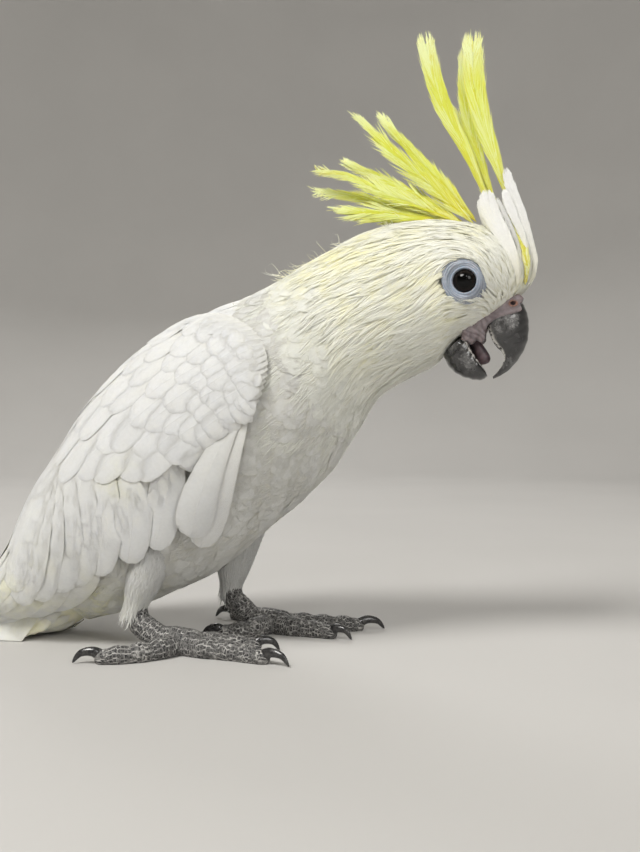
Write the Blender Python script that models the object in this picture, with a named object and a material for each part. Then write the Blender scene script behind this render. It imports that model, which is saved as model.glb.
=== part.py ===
"""A white cockatoo with a yellow crest, life size, standing on a floor with its tail laid behind it.

Everything is worked out in millimetres and put into the scene in metres.  +X is the way the bird
faces, +Y is its left and +Z is up; the floor is z = 0.  The trunk, neck, head, bill and tail are
lofts through named rings, each ring being a cross-section between a top and a bottom point of the
side outline.  The folded wings are shells that lie on a loft of their own, placed by the ring
number and by the angle round the body from the back.
"""
import math

import bmesh
import bpy
from mathutils import Matrix, Vector

MM = 0.001
GAP = 0.4                # clearance between pieces that meet
WING_CLEARANCE = 1.0     # between the inside of a wing and the body, which are both faceted
WING_DEPTH = 5.5         # thickness of the folded wing over the body
BODY_SEGMENTS = 24
EYE_CENTRE = (109.6, 22.0, 162.7)
EYE_RADIUS = 6.4
EYE_SUNK = 4.0
EYE_RING_RADIUS = 7.7
EYE_RING_HALF = 1.5
CREST_THICKNESS = 1.0
TOE_BASE_HALF, TOE_END_HALF = 4.9, 3.7
MIDDLE_X = -39.3         # the middle of the whole model's length, which becomes the origin

# name, top (x, z), bottom (x, z), half width
BODY_RINGS = [
    ("tail_root", (-91.0, 44.0), (-70.0, 8.5), 17.0),
    ("vent", (-82.0, 74.0), (-50.0, 14.0), 30.0),
    ("belly", (-60.0, 107.0), (-10.0, 31.5), 39.0),
    ("flank", (-36.0, 133.0), (18.0, 54.0), 42.5),
    ("breast", (-11.5, 150.0), (43.0, 76.0), 42.5),
    ("shoulder", (19.0, 165.0), (58.0, 97.0), 38.0),
    ("neck_base", (43.0, 178.0), (68.0, 113.5), 32.0),
    ("neck", (66.0, 189.0), (80.0, 121.5), 28.0),
    ("nape", (90.5, 193.0), (92.5, 127.5), 26.5),
    ("crown", (112.5, 190.5), (97.0, 130.5), 24.5),
    ("brow", (128.5, 183.5), (101.0, 135.5), 21.0),
    ("forehead", (137.5, 173.0), (104.8, 139.6), 16.5),
    ("lores", (137.0, 164.0), (108.6, 141.6), 13.0),
    ("face", (133.0, 159.2), (111.5, 143.2), 10.5),
]
NECK_FROM, HEAD_FROM, HEAD_TO = 4.9, 7.45, 13.0

WING_RINGS = [
    ("tips", (-186.0, 10.5), (-184.0, 4.5), 13.0),
    ("primaries", (-150.0, 17.5), (-146.0, 5.5), 20.0),
    ("tertials", (-122.0, 27.5), (-108.0, 7.0), 25.0),
    ("rump", (-108.0, 42.5), (-84.0, 8.0), 29.0),
    ("vent", (-95.0, 66.0), (-60.0, 14.0), 34.5),
    ("back", (-78.0, 88.0), (-36.0, 22.0), 38.5),
    ("belly", (-61.5, 111.5), (-10.0, 31.5), 41.5),
    ("flank", (-37.0, 134.5), (18.0, 54.0), 43.0),
    ("breast", (-11.5, 150.0), (43.0, 76.0), 42.5),
    ("shoulder", (19.0, 165.0), (58.0, 97.0), 38.0),
]

# lines across the wing, from the back to its lower edge: (ring number, degrees from the back)
LEADING_EDGE = [(7.9, 4.0), (8.4, 36.0), (8.74, 64.0), (8.76, 84.0), (8.45, 94.0), (7.95, 100.0)]
COVERT_TIPS = [(4.9, 3.5), (5.05, 33.0), (5.3, 58.0), (5.9, 76.0), (6.5, 90.0), (7.1, 101.0)]
SECONDARY_ROOTS = [(5.15, 3.5), (5.3, 33.0), (5.55, 58.0), (6.15, 76.0), (6.75, 90.0), (7.3, 100.0)]
SECONDARY_TIPS = [(3.2, 3.5), (3.1, 38.0), (3.4, 66.0), (3.75, 95.0), (4.5, 114.0), (5.85, 124.0)]
PRIMARY_ROOTS = [(3.75, 4.0), (3.7, 42.0), (3.9, 68.0), (4.2, 95.0), (4.9, 113.0)]
PRIMARY_TIPS = [(0.5, 5.0), (0.05, 40.0), (0.4, 78.0), (1.7, 112.0), (3.1, 126.0)]
ALULA_ROOTS = [(7.5, 90.0), (7.8, 95.0), (8.0, 101.0)]
ALULA_MIDDLES = [(6.62, 106.0), (7.0, 113.0), (7.3, 121.5)]
ALULA_TIPS = [(6.5, 119.0), (6.36, 125.0), (6.5, 128.0), (6.32, 135.5), (6.55, 139.5)]

UPPER_BILL_RINGS = [
    ("base", (133.9, 155.0), (117.0, 145.0), 8.6),
    ("gape", (135.6, 149.6), (118.0, 141.2), 8.3),
    ("middle", (135.9, 144.0), (120.2, 136.8), 7.5),
    ("tooth", (135.0, 137.4), (124.0, 133.4), 6.2),
    ("hook", (131.6, 130.8), (125.2, 130.4), 4.6),
    ("point", (126.6, 125.4), (123.6, 126.6), 2.6),
    ("tip", (120.9, 122.1), (120.6, 123.0), 0.7),
]
LOWER_BILL_RINGS = [
    ("base", (107.6, 140.7), (98.9, 132.6), 7.6),
    ("heel", (110.6, 138.8), (101.2, 127.8), 8.2),
    ("keel", (111.6, 135.8), (105.4, 124.0), 7.9),
    ("scoop", (113.4, 132.4), (111.2, 121.9), 7.0),
    ("edge", (115.2, 129.2), (115.8, 121.6), 5.6),
    ("tip", (117.4, 125.8), (118.4, 123.2), 3.6),
]
CERE_RINGS = [
    ("feathers", (133.3, 158.7), (112.1, 143.0), 10.3),
    ("nostrils", (134.2, 157.4), (114.6, 143.8), 10.2),
    ("bill", (133.6, 155.5), (116.7, 145.4), 8.8),
]
TONGUE_RINGS = [
    ("root", (115.2, 139.4), (112.6, 138.9), 2.2),
    ("blade", (117.0, 135.6), (113.8, 134.2), 3.2),
    ("club", (119.2, 131.4), (115.9, 130.8), 3.0),
    ("end", (118.8, 129.2), (116.9, 129.0), 1.5),
]
TAIL_RINGS = [
    ("root", (-91.6, 42.5), (-70.8, 8.0), 16.0),
    ("coverts", (-104.0, 34.5), (-82.0, 1.2), 20.0),
    ("base", (-120.0, 21.5), (-103.0, 0.0), 20.5),
    ("middle", (-148.0, 10.5), (-143.0, 0.0), 23.0),
    ("end", (-181.0, 4.0), (-179.0, 0.0), 26.0),
    ("tips", (-217.0, 2.0), (-217.0, 0.0), 27.0),
]

# crest feathers: path (x, z) from quill to tip, sideways place at the quill and tip, greatest width
CREST_FEATHERS = {
    "front_1": (((129.6, 185.6), (122.9, 216.0), (113.6, 250.0), (112.6, 276.0)), (0.6, 1.5), 11.0),
    "front_2": (((123.4, 188.4), (113.3, 214.2), (99.6, 244.1), (91.6, 275.4)), (-0.8, -2.4), 9.2),
    "front_3": (((126.6, 187.0), (115.8, 214.0), (108.8, 242.0), (108.6, 272.0)), (-2.8, -5.0), 8.0),
    "front_4": (((124.8, 187.4), (117.0, 208.0), (108.6, 232.0), (101.5, 258.0)), (3.0, 6.0), 7.6),
    "rear_1": (((113.6, 194.0), (99.0, 212.0), (84.0, 228.6), (68.3, 244.4)), (1.2, 3.0), 8.4),
    "rear_2": (((112.4, 193.6), (95.0, 210.0), (76.0, 227.6), (56.3, 243.6)), (-1.2, -4.0), 9.6),
    "rear_3": (((109.0, 194.0), (88.0, 206.0), (69.0, 217.8), (49.8, 225.6)), (2.8, 6.6), 7.6),
    "rear_4": (((108.0, 193.6), (84.0, 204.2), (61.0, 213.6), (38.6, 219.0)), (-3.0, -7.0), 7.2),
    "rear_5": (((106.4, 194.6), (82.0, 201.4), (60.0, 206.4), (38.4, 209.8)), (0.8, 2.0), 7.6),
    "rear_6": (((104.0, 194.6), (82.0, 198.6), (62.0, 201.2), (43.6, 200.6)), (-1.4, -3.4), 7.0),
}
PLUMES = {
    "front_right": (((137.2, 180.6), (135.0, 191.0), (131.4, 204.0), (125.6, 215.6)), (-3.6, -2.6), 8.0),
    "front_left": (((137.2, 180.6), (134.6, 190.6), (130.4, 203.0), (124.0, 213.0)), (3.8, 3.4), 8.0),
    "right": (((126.4, 188.2), (124.2, 194.0), (121.4, 199.0), (117.6, 204.6)), (-7.4, -7.0), 9.6),
    "left": (((126.4, 188.2), (124.2, 194.0), (121.4, 199.0), (117.6, 204.6)), (7.4, 7.0), 9.6),
}
PLUME_THICKNESS = 2.2

# where each leg stands: hip, ankle, middle of the foot
LEGS = {
    "right": ((-27.0, -20.0, 54.0), (-37.0, -26.0, 19.0), (-16.0, -26.0, 5.0)),
    "left": ((-1.0, 20.0, 60.0), (-8.0, 25.0, 21.0), (12.0, 26.0, 5.0)),
}
# toes of a parrot's foot: start (forward, towards the midline), heading at the start and at the end
# (degrees from forward, + towards the midline), length, claw length
TOES = {
    "inner_front": ((13.2, 5.0), (6.0, 18.0), 19.0, 11.0),
    "outer_front": ((13.2, -5.4), (-6.0, -20.0), 29.0, 13.0),
    "inner_back": ((-4.6, 10.1), (122.0, 166.0), 17.0, 10.0),
    "outer_back": ((-4.6, -10.1), (-122.0, -166.0), 27.0, 12.0),
}

MATERIALS = {
    "white_feather": ((0.90, 0.90, 0.86), 0.85),
    "yellow_feather": ((0.86, 0.84, 0.10), 0.80),
    "eye_skin": ((0.62, 0.70, 0.82), 0.55),
    "eye": ((0.02, 0.015, 0.012), 0.08),
    "bill": ((0.045, 0.045, 0.05), 0.35),
    "cere": ((0.42, 0.35, 0.36), 0.60),
    "tongue": ((0.16, 0.11, 0.12), 0.45),
    "foot_skin": ((0.16, 0.155, 0.15), 0.75),
    "claw": ((0.03, 0.03, 0.032), 0.35),
}


def clear_scene():
    for old in list(bpy.data.objects):
        bpy.data.objects.remove(old)


def make_materials():
    made = {}
    for name, (colour, roughness) in MATERIALS.items():
        material = bpy.data.materials.new(name)
        material.use_nodes = True
        shader = material.node_tree.nodes["Principled BSDF"]
        shader.inputs["Base Color"].default_value = (*colour, 1.0)
        shader.inputs["Roughness"].default_value = roughness
        made[name] = material
    return made


def lerp(a, b, t):
    return a + (b - a) * t


def catmull(values, s):
    """Smooth interpolation through equally spaced values."""
    last = len(values) - 1
    i = min(max(int(math.floor(s)), 0), last - 1)
    t = s - i
    p1, p2 = values[i], values[i + 1]
    p0 = values[i - 1] if i > 0 else 2 * p1 - p2
    p3 = values[i + 2] if i + 2 <= last else 2 * p2 - p1
    return 0.5 * (2 * p1 + (p2 - p0) * t + (2 * p0 - 5 * p1 + 4 * p2 - p3) * t * t
                  + (3 * p1 - p0 - 3 * p2 + p3) * t ** 3)


def along(table, share):
    """The point at a share of the way along a short table of points."""
    return catmull([Vector(row) for row in table], share * (len(table) - 1))


class Loft:
    """A smooth body through rings that stand between a top and a bottom point of the side outline."""

    def __init__(self, rings, squareness=2.15, belly=0.0):
        self.tops = [Vector((top[0], 0.0, top[1])) for _, top, _, _ in rings]
        self.bottoms = [Vector((bottom[0], 0.0, bottom[1])) for _, _, bottom, _ in rings]
        self.widths = [width for _, _, _, width in rings]
        self.power = 2.0 / squareness
        self.belly = belly

    def point(self, s, angle, grown=0.0):
        """Angle is from the top, in radians; positive is the left side.  Grown moves the skin out."""
        top, bottom = catmull(self.tops, s), catmull(self.bottoms, s)
        middle, half = (top + bottom) / 2, (top - bottom).length / 2
        up = (top - bottom).normalized()
        c, sn = math.cos(angle), math.sin(angle)
        lift = math.copysign(abs(c) ** self.power, c) * (half + grown)
        side = math.copysign(abs(sn) ** self.power, sn) * (catmull(self.widths, s) + grown)
        side *= 1.0 - self.belly * c
        return middle + up * lift + Vector((0.0, side, 0.0))

    def ring(self, s, segments, grown=0.0):
        return [self.point(s, 2 * math.pi * k / segments, grown) for k in range(segments)]


def mesh_object(name, points, faces, material):
    mesh = bpy.data.meshes.new(name)
    mesh.from_pydata([Vector(p) * MM for p in points], [], faces)
    shape = bmesh.new()
    shape.from_mesh(mesh)
    bmesh.ops.recalc_face_normals(shape, faces=shape.faces[:])
    shape.to_mesh(mesh)
    shape.free()
    mesh.materials.append(material)
    mesh.shade_smooth()
    made = bpy.data.objects.new(name, mesh)
    bpy.context.scene.collection.objects.link(made)
    return made


def tube(name, rings, material):
    """A closed solid through rings of equal count, with a fan cap at each end."""
    count = len(rings[0])
    points = [p for ring in rings for p in ring]
    faces = []
    for i in range(len(rings) - 1):
        for k in range(count):
            here, there = i * count, (i + 1) * count
            faces.append((here + k, here + (k + 1) % count, there + (k + 1) % count, there + k))
    for first, ring in ((0, rings[0]), ((len(rings) - 1) * count, rings[-1])):
        centre = sum((Vector(p) for p in ring), Vector()) / count
        points.append(centre)
        faces += [(first + k, first + (k + 1) % count, len(points) - 1) for k in range(count)]
    return mesh_object(name, points, faces, material)


def slab(name, outer, inner, material):
    """A closed solid between two grids of points of the same size."""
    rows, columns = len(outer), len(outer[0])
    points = [p for grid in (outer, inner) for row in grid for p in row]
    behind = rows * columns
    faces = []
    for i in range(rows - 1):
        for k in range(columns - 1):
            a, b = i * columns + k, (i + 1) * columns + k
            faces.append((a, a + 1, b + 1, b))
            faces.append((behind + a, behind + b, behind + b + 1, behind + a + 1))
    rim = [k for k in range(columns)]
    rim += [i * columns + columns - 1 for i in range(1, rows)]
    rim += [(rows - 1) * columns + k for k in range(columns - 2, -1, -1)]
    rim += [i * columns for i in range(rows - 2, 0, -1)]
    for a, b in zip(rim, rim[1:] + rim[:1]):
        faces.append((a, b, behind + b, behind + a))
    return mesh_object(name, points, faces, material)


def loft_piece(name, loft, start, end, steps, segments, material, grown=0.0):
    stations = [lerp(start, end, i / steps) for i in range(steps + 1)]
    return tube(name, [loft.ring(s, segments, grown) for s in stations], material)


def cut(target, cutter):
    cutter.hide_render = True
    cutter.display_type = "WIRE"
    modifier = target.modifiers.new("cut_" + cutter.name, "BOOLEAN")
    modifier.operation = "DIFFERENCE"
    modifier.object = cutter


def circle(centre, radius, reach, segments):
    """Points of a circle about an axis along Y, moved out by reach."""
    turns = [2 * math.pi * k / segments for k in range(segments)]
    return [Vector(centre) + Vector((radius * math.cos(t), reach, radius * math.sin(t))) for t in turns]


def ball(name, centre, radius, material):
    rings, segments = 9, 14
    tilts = [math.pi * i / rings for i in range(1, rings)]
    return tube(name, [circle(centre, radius * math.sin(t), radius * math.cos(t), segments)
                       for t in tilts], material)


def hoop(name, centre, radius, half, material):
    around, section = 18, 6
    slices = [2 * math.pi * k / section for k in range(section)]
    rows = [circle(centre, radius + half * math.cos(t), half * math.sin(t), around) for t in slices]
    points = [p for row in rows for p in row]
    faces = []
    for i in range(section):
        a, b = i * around, (i + 1) % section * around
        faces += [(a + k, a + (k + 1) % around, b + (k + 1) % around, b + k) for k in range(around)]
    return mesh_object(name, points, faces, material)


def make_body(body, skins):
    seam = 0.008    # a share of the ring spacing, about a quarter of a millimetre each way
    white = skins["white_feather"]
    loft_piece("trunk", body, 0.0, NECK_FROM - seam, 14, BODY_SEGMENTS, white)
    loft_piece("neck", body, NECK_FROM + seam, HEAD_FROM - seam, 5, BODY_SEGMENTS, white)
    return loft_piece("head", body, HEAD_FROM + seam, HEAD_TO, 11, BODY_SEGMENTS, white)


def make_eyes(head, skins):
    """Each eyeball sits in a round socket, and the bare ring round it in a shallow flat bed."""
    for side, sign in (("right", -1), ("left", 1)):
        x, y, z = EYE_CENTRE
        centre = (x, sign * (y - EYE_SUNK), z)
        rim = (x, sign * y, z)
        ball(f"eye_{side}", centre, EYE_RADIUS, skins["eye"])
        hoop(f"eye_ring_{side}", rim, EYE_RING_RADIUS, EYE_RING_HALF, skins["eye_skin"])
        cut(head, ball(f"socket_{side}", centre, EYE_RADIUS + GAP, skins["eye"]))
        bed = [circle(rim, EYE_RING_RADIUS + EYE_RING_HALF + GAP, sign * reach, 24)
               for reach in (-EYE_RING_HALF - GAP, 9.0)]
        cut(head, tube(f"lid_bed_{side}", bed, skins["eye_skin"]))


def make_bill(skins):
    upper = Loft(UPPER_BILL_RINGS, squareness=2.3, belly=0.22)
    lower = Loft(LOWER_BILL_RINGS, squareness=2.5, belly=-0.12)
    loft_piece("upper_bill", upper, 0.0, 6.0, 9, 14, skins["bill"])
    loft_piece("lower_bill", lower, 0.0, 5.0, 7, 14, skins["bill"])
    loft_piece("cere", Loft(CERE_RINGS), 0.0, 2.0, 2, 16, skins["cere"])
    loft_piece("tongue", Loft(TONGUE_RINGS), 0.0, 3.0, 4, 8, skins["tongue"])


def blade(name, path, places, width, thickness, material):
    """A feather in the side plane: narrow quill, wide vane and round end."""
    steps = 6
    outer, inner = [], []
    for i in range(steps + 1):
        t = i / steps
        x, z = along(path, t)
        ahead = along(path, min(1.0, t + 0.05)) - along(path, max(0.0, t - 0.05))
        forward = Vector((ahead.y, 0.0, -ahead.x)).normalized()
        half = width / 2 * min(1.0, 0.30 + 1.5 * t) * max(0.18, (1 - t ** 5) ** 0.6)
        depth = thickness / 2 * (1.0 - 0.35 * t)
        centre = Vector((x, lerp(*places, t), z))
        row = [centre + forward * half * share for share in (-1.0, 0.0, 1.0)]
        outer.append([p + Vector((0.0, depth, 0.0)) for p in row])
        inner.append([p - Vector((0.0, depth, 0.0)) for p in row])
    return slab(name, outer, inner, material)


def make_crest(skins):
    for name, (path, places, width) in CREST_FEATHERS.items():
        blade("crest_" + name, path, places, width, CREST_THICKNESS, skins["yellow_feather"])
    for name, (path, places, width) in PLUMES.items():
        blade("plume_" + name, path, places, width, PLUME_THICKNESS, skins["white_feather"])


def wing_layer(name, loft, lines, lift, steps, columns, sign, material, scallops=0, depth=0.0):
    """One layer of a folded wing, through lines that run across it from root to tip.

    lift(t, u) gives how far the inside and the outside stand off the loft, t of the way from root
    to tip and u of the way from the back.  The tip line is cut back between feathers by depth.
    """
    outer, inner = [], []
    for i in range(steps + 1):
        t = i / steps
        rows = ([], [])
        for k in range(columns + 1):
            u = k / columns
            s, angle = catmull([along(line, u) for line in lines], t * (len(lines) - 1))
            s += depth * t * (1.0 - abs(math.sin(math.pi * scallops * u)))
            low, high = lift(t, u)
            rows[0].append(loft.point(s, sign * math.radians(angle), high))
            rows[1].append(loft.point(s, sign * math.radians(angle), low))
        outer.append(rows[0])
        inner.append(rows[1])
    return slab(name, outer, inner, material)


def covert_lift(t, u):
    edge = min(1.0, 4.0 * min(u, 1.0 - u) + 0.35, 0.35 + 3.0 * t)
    inside = WING_CLEARANCE + 3.0 * min(1.0, max(0.0, 2.6 * t - 1.2))
    return inside, max(WING_CLEARANCE + WING_DEPTH * edge, inside + 1.2)


def secondary_lift(t, u):
    inside = WING_CLEARANCE + 2.4 * min(1.0, 2.0 * t)
    return inside, max(inside + 1.3, WING_CLEARANCE + 2.2 + 1.4 * t)


def primary_lift(t, u):
    return WING_CLEARANCE, WING_CLEARANCE + 1.8 - 0.6 * t


def alula_lift(t, u):
    return WING_DEPTH + 2.6 - 1.0 * t, WING_DEPTH + 4.8 - 1.8 * t


def make_wings(skins):
    roof = Loft(WING_RINGS)
    white = skins["white_feather"]
    for side, sign in (("right", -1), ("left", 1)):
        wing_layer(f"wing_{side}_coverts", roof, (LEADING_EDGE, COVERT_TIPS), covert_lift,
                   8, 9, sign, white)
        wing_layer(f"wing_{side}_secondaries", roof, (SECONDARY_ROOTS, SECONDARY_TIPS),
                   secondary_lift, 4, 21, sign, white, scallops=7, depth=0.24)
        wing_layer(f"wing_{side}_primaries", roof, (PRIMARY_ROOTS, PRIMARY_TIPS),
                   primary_lift, 5, 12, sign, white, scallops=4, depth=0.22)
        wing_layer(f"wing_{side}_alula", roof, (ALULA_ROOTS, ALULA_MIDDLES, ALULA_TIPS),
                   alula_lift, 4, 4, sign, white)


def make_tail(skins):
    """Twelve feathers as one fan, coming down from the rump and laid along the floor."""
    loft = Loft(TAIL_RINGS)
    steps, columns, edge = 8, 24, 1.2
    outer, inner = [], []
    for i in range(steps + 1):
        rows = ([], [])
        for k in range(columns + 1):
            share = 2 * k / columns - 1.0
            tip = 1.0 - 0.055 * share ** 2 - 0.02 * abs(math.sin(math.pi * 6 * share))
            s = (len(TAIL_RINGS) - 1) * tip * i / steps
            top, bottom = catmull(loft.tops, s), catmull(loft.bottoms, s)
            side = Vector((0.0, catmull(loft.widths, s) * share, 0.0))
            bottom.z = max(bottom.z, 0.0)
            rim = bottom + (top - bottom).normalized() * edge
            rows[0].append(rim + (top - rim) * math.sqrt(1.0 - share ** 2) + side)
            rows[1].append(bottom + side)
        outer.append(rows[0])
        inner.append(rows[1])
    slab("tail", outer, inner, skins["white_feather"])


def limb_rings(path, radii, segments):
    """Rings square to a path of points, stopped at the floor so that a sole is flat."""
    rings = []
    for i, (centre, (wide, high)) in enumerate(zip(path, radii)):
        ahead = (path[min(i + 1, len(path) - 1)] - path[max(i - 1, 0)]).normalized()
        side = Vector((0.0, 0.0, 1.0)).cross(ahead).normalized()
        up = ahead.cross(side)
        turns = [2 * math.pi * k / segments for k in range(segments)]
        ring = [centre + side * wide * math.cos(t) + up * high * math.sin(t) for t in turns]
        rings.append([Vector((p.x, p.y, max(p.z, 0.0))) for p in ring])
    return rings


def make_leg(side, trunk_cutter, skins):
    sign = -1 if side == "right" else 1
    hip, ankle, foot = [Vector(place) for place in LEGS[side]]
    knee = ankle + Vector((0.0, 0.0, 3.0))
    steps = 5
    path = [hip.lerp(knee, i / steps) for i in range(steps + 1)]
    shares = [(i / steps) ** 0.8 for i in range(steps + 1)]
    radii = [(lerp(12.5, 6.4, share), lerp(17.0, 7.0, share)) for share in shares]
    thigh = tube(f"thigh_{side}", limb_rings(path, radii, 12), skins["white_feather"])
    cut(thigh, trunk_cutter)

    shin = ankle + Vector((1.0, 0.0, -5.0))
    path = [shin, shin + Vector((5.0, 0.0, -3.4)), foot + Vector((-9.0, 0.0, 0.4)), foot,
            foot + Vector((9.0, 0.0, -0.7)), foot + Vector((11.5, 0.0, -1.4))]
    radii = [(5.4, 5.4), (5.9, 5.6), (7.0, 6.3), (8.6, 6.2), (8.6, 5.2), (6.6, 4.2)]
    tube(f"foot_{side}", limb_rings(path, radii, 12), skins["foot_skin"])
    for toe, (start, headings, length, claw) in TOES.items():
        placed = Vector((foot.x + start[0], foot.y - sign * start[1], 0.0))
        turns = [math.radians(-sign * heading) for heading in headings]
        make_toe(f"{toe}_toe_{side}", placed, turns, length, claw, skins)


def make_toe(name, start, turns, length, claw, skins):
    steps = 6
    spot = start.copy()
    path, radii = [], []
    for i in range(steps + 1):
        t = i / steps
        half = lerp(TOE_BASE_HALF, TOE_END_HALF, t) * (0.72 if i in (0, steps) else 1.0)
        path.append(spot + Vector((0.0, 0.0, half * 0.66)))
        radii.append((half, half))
        turn = lerp(*turns, t)
        ahead = Vector((math.cos(turn), math.sin(turn), 0.0))
        spot = spot + ahead * length / steps
    tube(name, limb_rings(path, radii, 8), skins["foot_skin"])

    root = Vector((path[-1].x, path[-1].y, 0.0)) + ahead * 0.9
    bend = [root + Vector((0.0, 0.0, 3.2)), root + ahead * claw * 0.3 + Vector((0.0, 0.0, 5.2)),
            root + ahead * claw * 0.75 + Vector((0.0, 0.0, 4.4)), root + ahead * claw + Vector((0.0, 0.0, 0.6))]
    path = [along(bend, i / 5) for i in range(6)]
    radii = [(lerp(2.3, 0.4, i / 5), lerp(2.7, 0.4, i / 5)) for i in range(6)]
    rings = limb_rings(path, radii, 6)
    rings[0] = [p - ahead * (p - path[0]).dot(ahead) for p in rings[0]]
    tube(name.replace("_toe_", "_claw_"), rings, skins["claw"])


def main():
    clear_scene()
    skins = make_materials()
    body = Loft(BODY_RINGS)
    head = make_body(body, skins)
    make_eyes(head, skins)
    make_bill(skins)
    make_crest(skins)
    make_wings(skins)
    make_tail(skins)
    trunk_cutter = loft_piece("trunk_cutter", body, 0.0, NECK_FROM, 14, BODY_SEGMENTS,
                              skins["white_feather"], GAP)
    for side in ("right", "left"):
        make_leg(side, trunk_cutter, skins)
    for made in bpy.context.scene.objects:
        made.data.transform(Matrix.Translation((-MIDDLE_X * MM, 0.0, 0.0)))


main()
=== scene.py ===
import math

import bpy
import numpy as np
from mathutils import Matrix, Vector


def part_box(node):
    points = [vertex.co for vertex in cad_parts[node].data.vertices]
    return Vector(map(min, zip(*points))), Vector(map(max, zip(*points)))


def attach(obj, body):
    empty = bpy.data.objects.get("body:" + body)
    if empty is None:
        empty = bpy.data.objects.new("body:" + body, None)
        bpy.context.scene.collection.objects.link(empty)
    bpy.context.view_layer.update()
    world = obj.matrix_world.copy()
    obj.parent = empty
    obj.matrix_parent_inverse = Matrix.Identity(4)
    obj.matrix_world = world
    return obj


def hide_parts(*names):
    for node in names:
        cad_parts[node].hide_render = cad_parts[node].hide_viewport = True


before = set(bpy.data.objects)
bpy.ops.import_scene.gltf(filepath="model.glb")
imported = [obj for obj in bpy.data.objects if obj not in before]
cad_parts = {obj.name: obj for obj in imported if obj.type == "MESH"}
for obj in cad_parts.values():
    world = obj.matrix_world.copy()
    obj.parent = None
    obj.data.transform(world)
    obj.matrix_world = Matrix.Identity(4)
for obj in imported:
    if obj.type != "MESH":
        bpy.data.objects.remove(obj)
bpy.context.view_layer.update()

# Shapes are in millimetres in the bird's own frame: x forward, y left, z up from the floor.
# The right eye of the frame says where that lies.
mm = 0.001
upwards = (0.01, 0.02, 1.0)  # not quite upright, so that no path runs along it
eye = {"x": 109.6, "y": 18.0, "z": 162.7, "ball": 6.4, "bulge": 0.45, "opening": 5.0, "ring": 8.35}
eyeLow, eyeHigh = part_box("eye_right")
shift = np.array((eyeLow + eyeHigh) / 2) / mm - np.array([eye["x"], -eye["y"], eye["z"]])
rng = np.random.default_rng(41)  # every piece draws from it in turn

bodyRings = [  # top (x, z), bottom (x, z) and half width, from the root of the tail to the face
    (-91.0, 44.0, -70.0, 8.5, 17.0),      # tail root
    (-82.0, 74.0, -50.0, 14.0, 30.0),     # vent
    (-60.0, 107.0, -10.0, 31.5, 39.0),    # belly
    (-36.0, 133.0, 18.0, 54.0, 42.5),     # flank
    (-11.5, 150.0, 43.0, 76.0, 42.5),     # breast
    (19.0, 165.0, 58.0, 97.0, 38.0),      # shoulder
    (43.0, 178.0, 68.0, 113.5, 32.0),     # neck base
    (66.0, 189.0, 80.0, 121.5, 28.0),     # neck
    (90.5, 193.0, 92.5, 127.5, 26.5),     # nape
    (112.5, 190.5, 97.0, 130.5, 24.5),    # crown
    (128.5, 183.5, 101.0, 135.5, 21.0),   # brow
    (137.5, 173.0, 104.8, 139.6, 16.5),   # forehead
    (137.0, 164.0, 108.6, 141.6, 13.0),   # lores
    (133.0, 159.2, 111.5, 143.2, 10.5),   # face
]
wingRings = [  # the body with both folded wings
    (-186.0, 10.5, -184.0, 4.5, 13.0),    # wing tips
    (-150.0, 17.5, -146.0, 5.5, 20.0),
    (-122.0, 27.5, -108.0, 7.0, 25.0),
    (-108.0, 42.5, -84.0, 8.0, 29.0),
    (-95.0, 66.0, -60.0, 14.0, 34.5),
    (-78.0, 88.0, -36.0, 22.0, 38.5),
    (-61.5, 111.5, -10.0, 31.5, 41.5),
    (-37.0, 134.5, 18.0, 54.0, 43.0),
    (-11.5, 150.0, 43.0, 76.0, 42.5),
    (19.0, 165.0, 58.0, 97.0, 38.0),      # shoulder
]
tailRings = [
    (-91.6, 42.5, -70.8, 8.0, 16.0),      # root
    (-104.0, 34.5, -82.0, 1.2, 20.0),
    (-120.0, 21.5, -103.0, 0.0, 20.5),
    (-148.0, 10.5, -143.0, 0.0, 23.0),
    (-181.0, 4.0, -179.0, 0.0, 26.0),
    (-217.0, 2.0, -217.0, 0.0, 27.0),     # tips
]


# Shape tools that every piece shares

def smoothPick(values, place):
    # a smooth curve through equally spaced rows, read at any place
    values = np.asarray(values, float)
    place = np.clip(np.asarray(place, float), 0, len(values) - 1)
    padded = np.concatenate([2 * values[:1] - values[1:2], values, 2 * values[-1:] - values[-2:-1]])
    first = np.clip(np.floor(place).astype(int), 0, len(values) - 2)
    t = place - first
    if values.ndim > 1:
        t = t[..., None]
    a, b, c, d = (padded[first + k] for k in range(4))
    square = 2 * a - 5 * b + 4 * c - d
    cube = 3 * b - a - 3 * c + d
    return 0.5 * (2 * b + (c - a) * t + square * t ** 2 + cube * t ** 3)


def unit(v):
    return v / np.maximum(np.linalg.norm(v, axis=-1, keepdims=True), 1e-9)


def ease(low, high, value):
    # goes softly from 0 at low to 1 at high
    t = np.clip((value - low) / (high - low), 0, 1)
    return t * t * (3 - 2 * t)


def pathLength(points):
    # how far along a line of points each of them is
    return np.concatenate([[0], np.cumsum(np.linalg.norm(np.diff(points, axis=0), axis=1))])


def bell(value, middle, width):
    # 1 at the middle, soft to both sides
    return np.exp(-(((value - middle) / width) ** 2))


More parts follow.
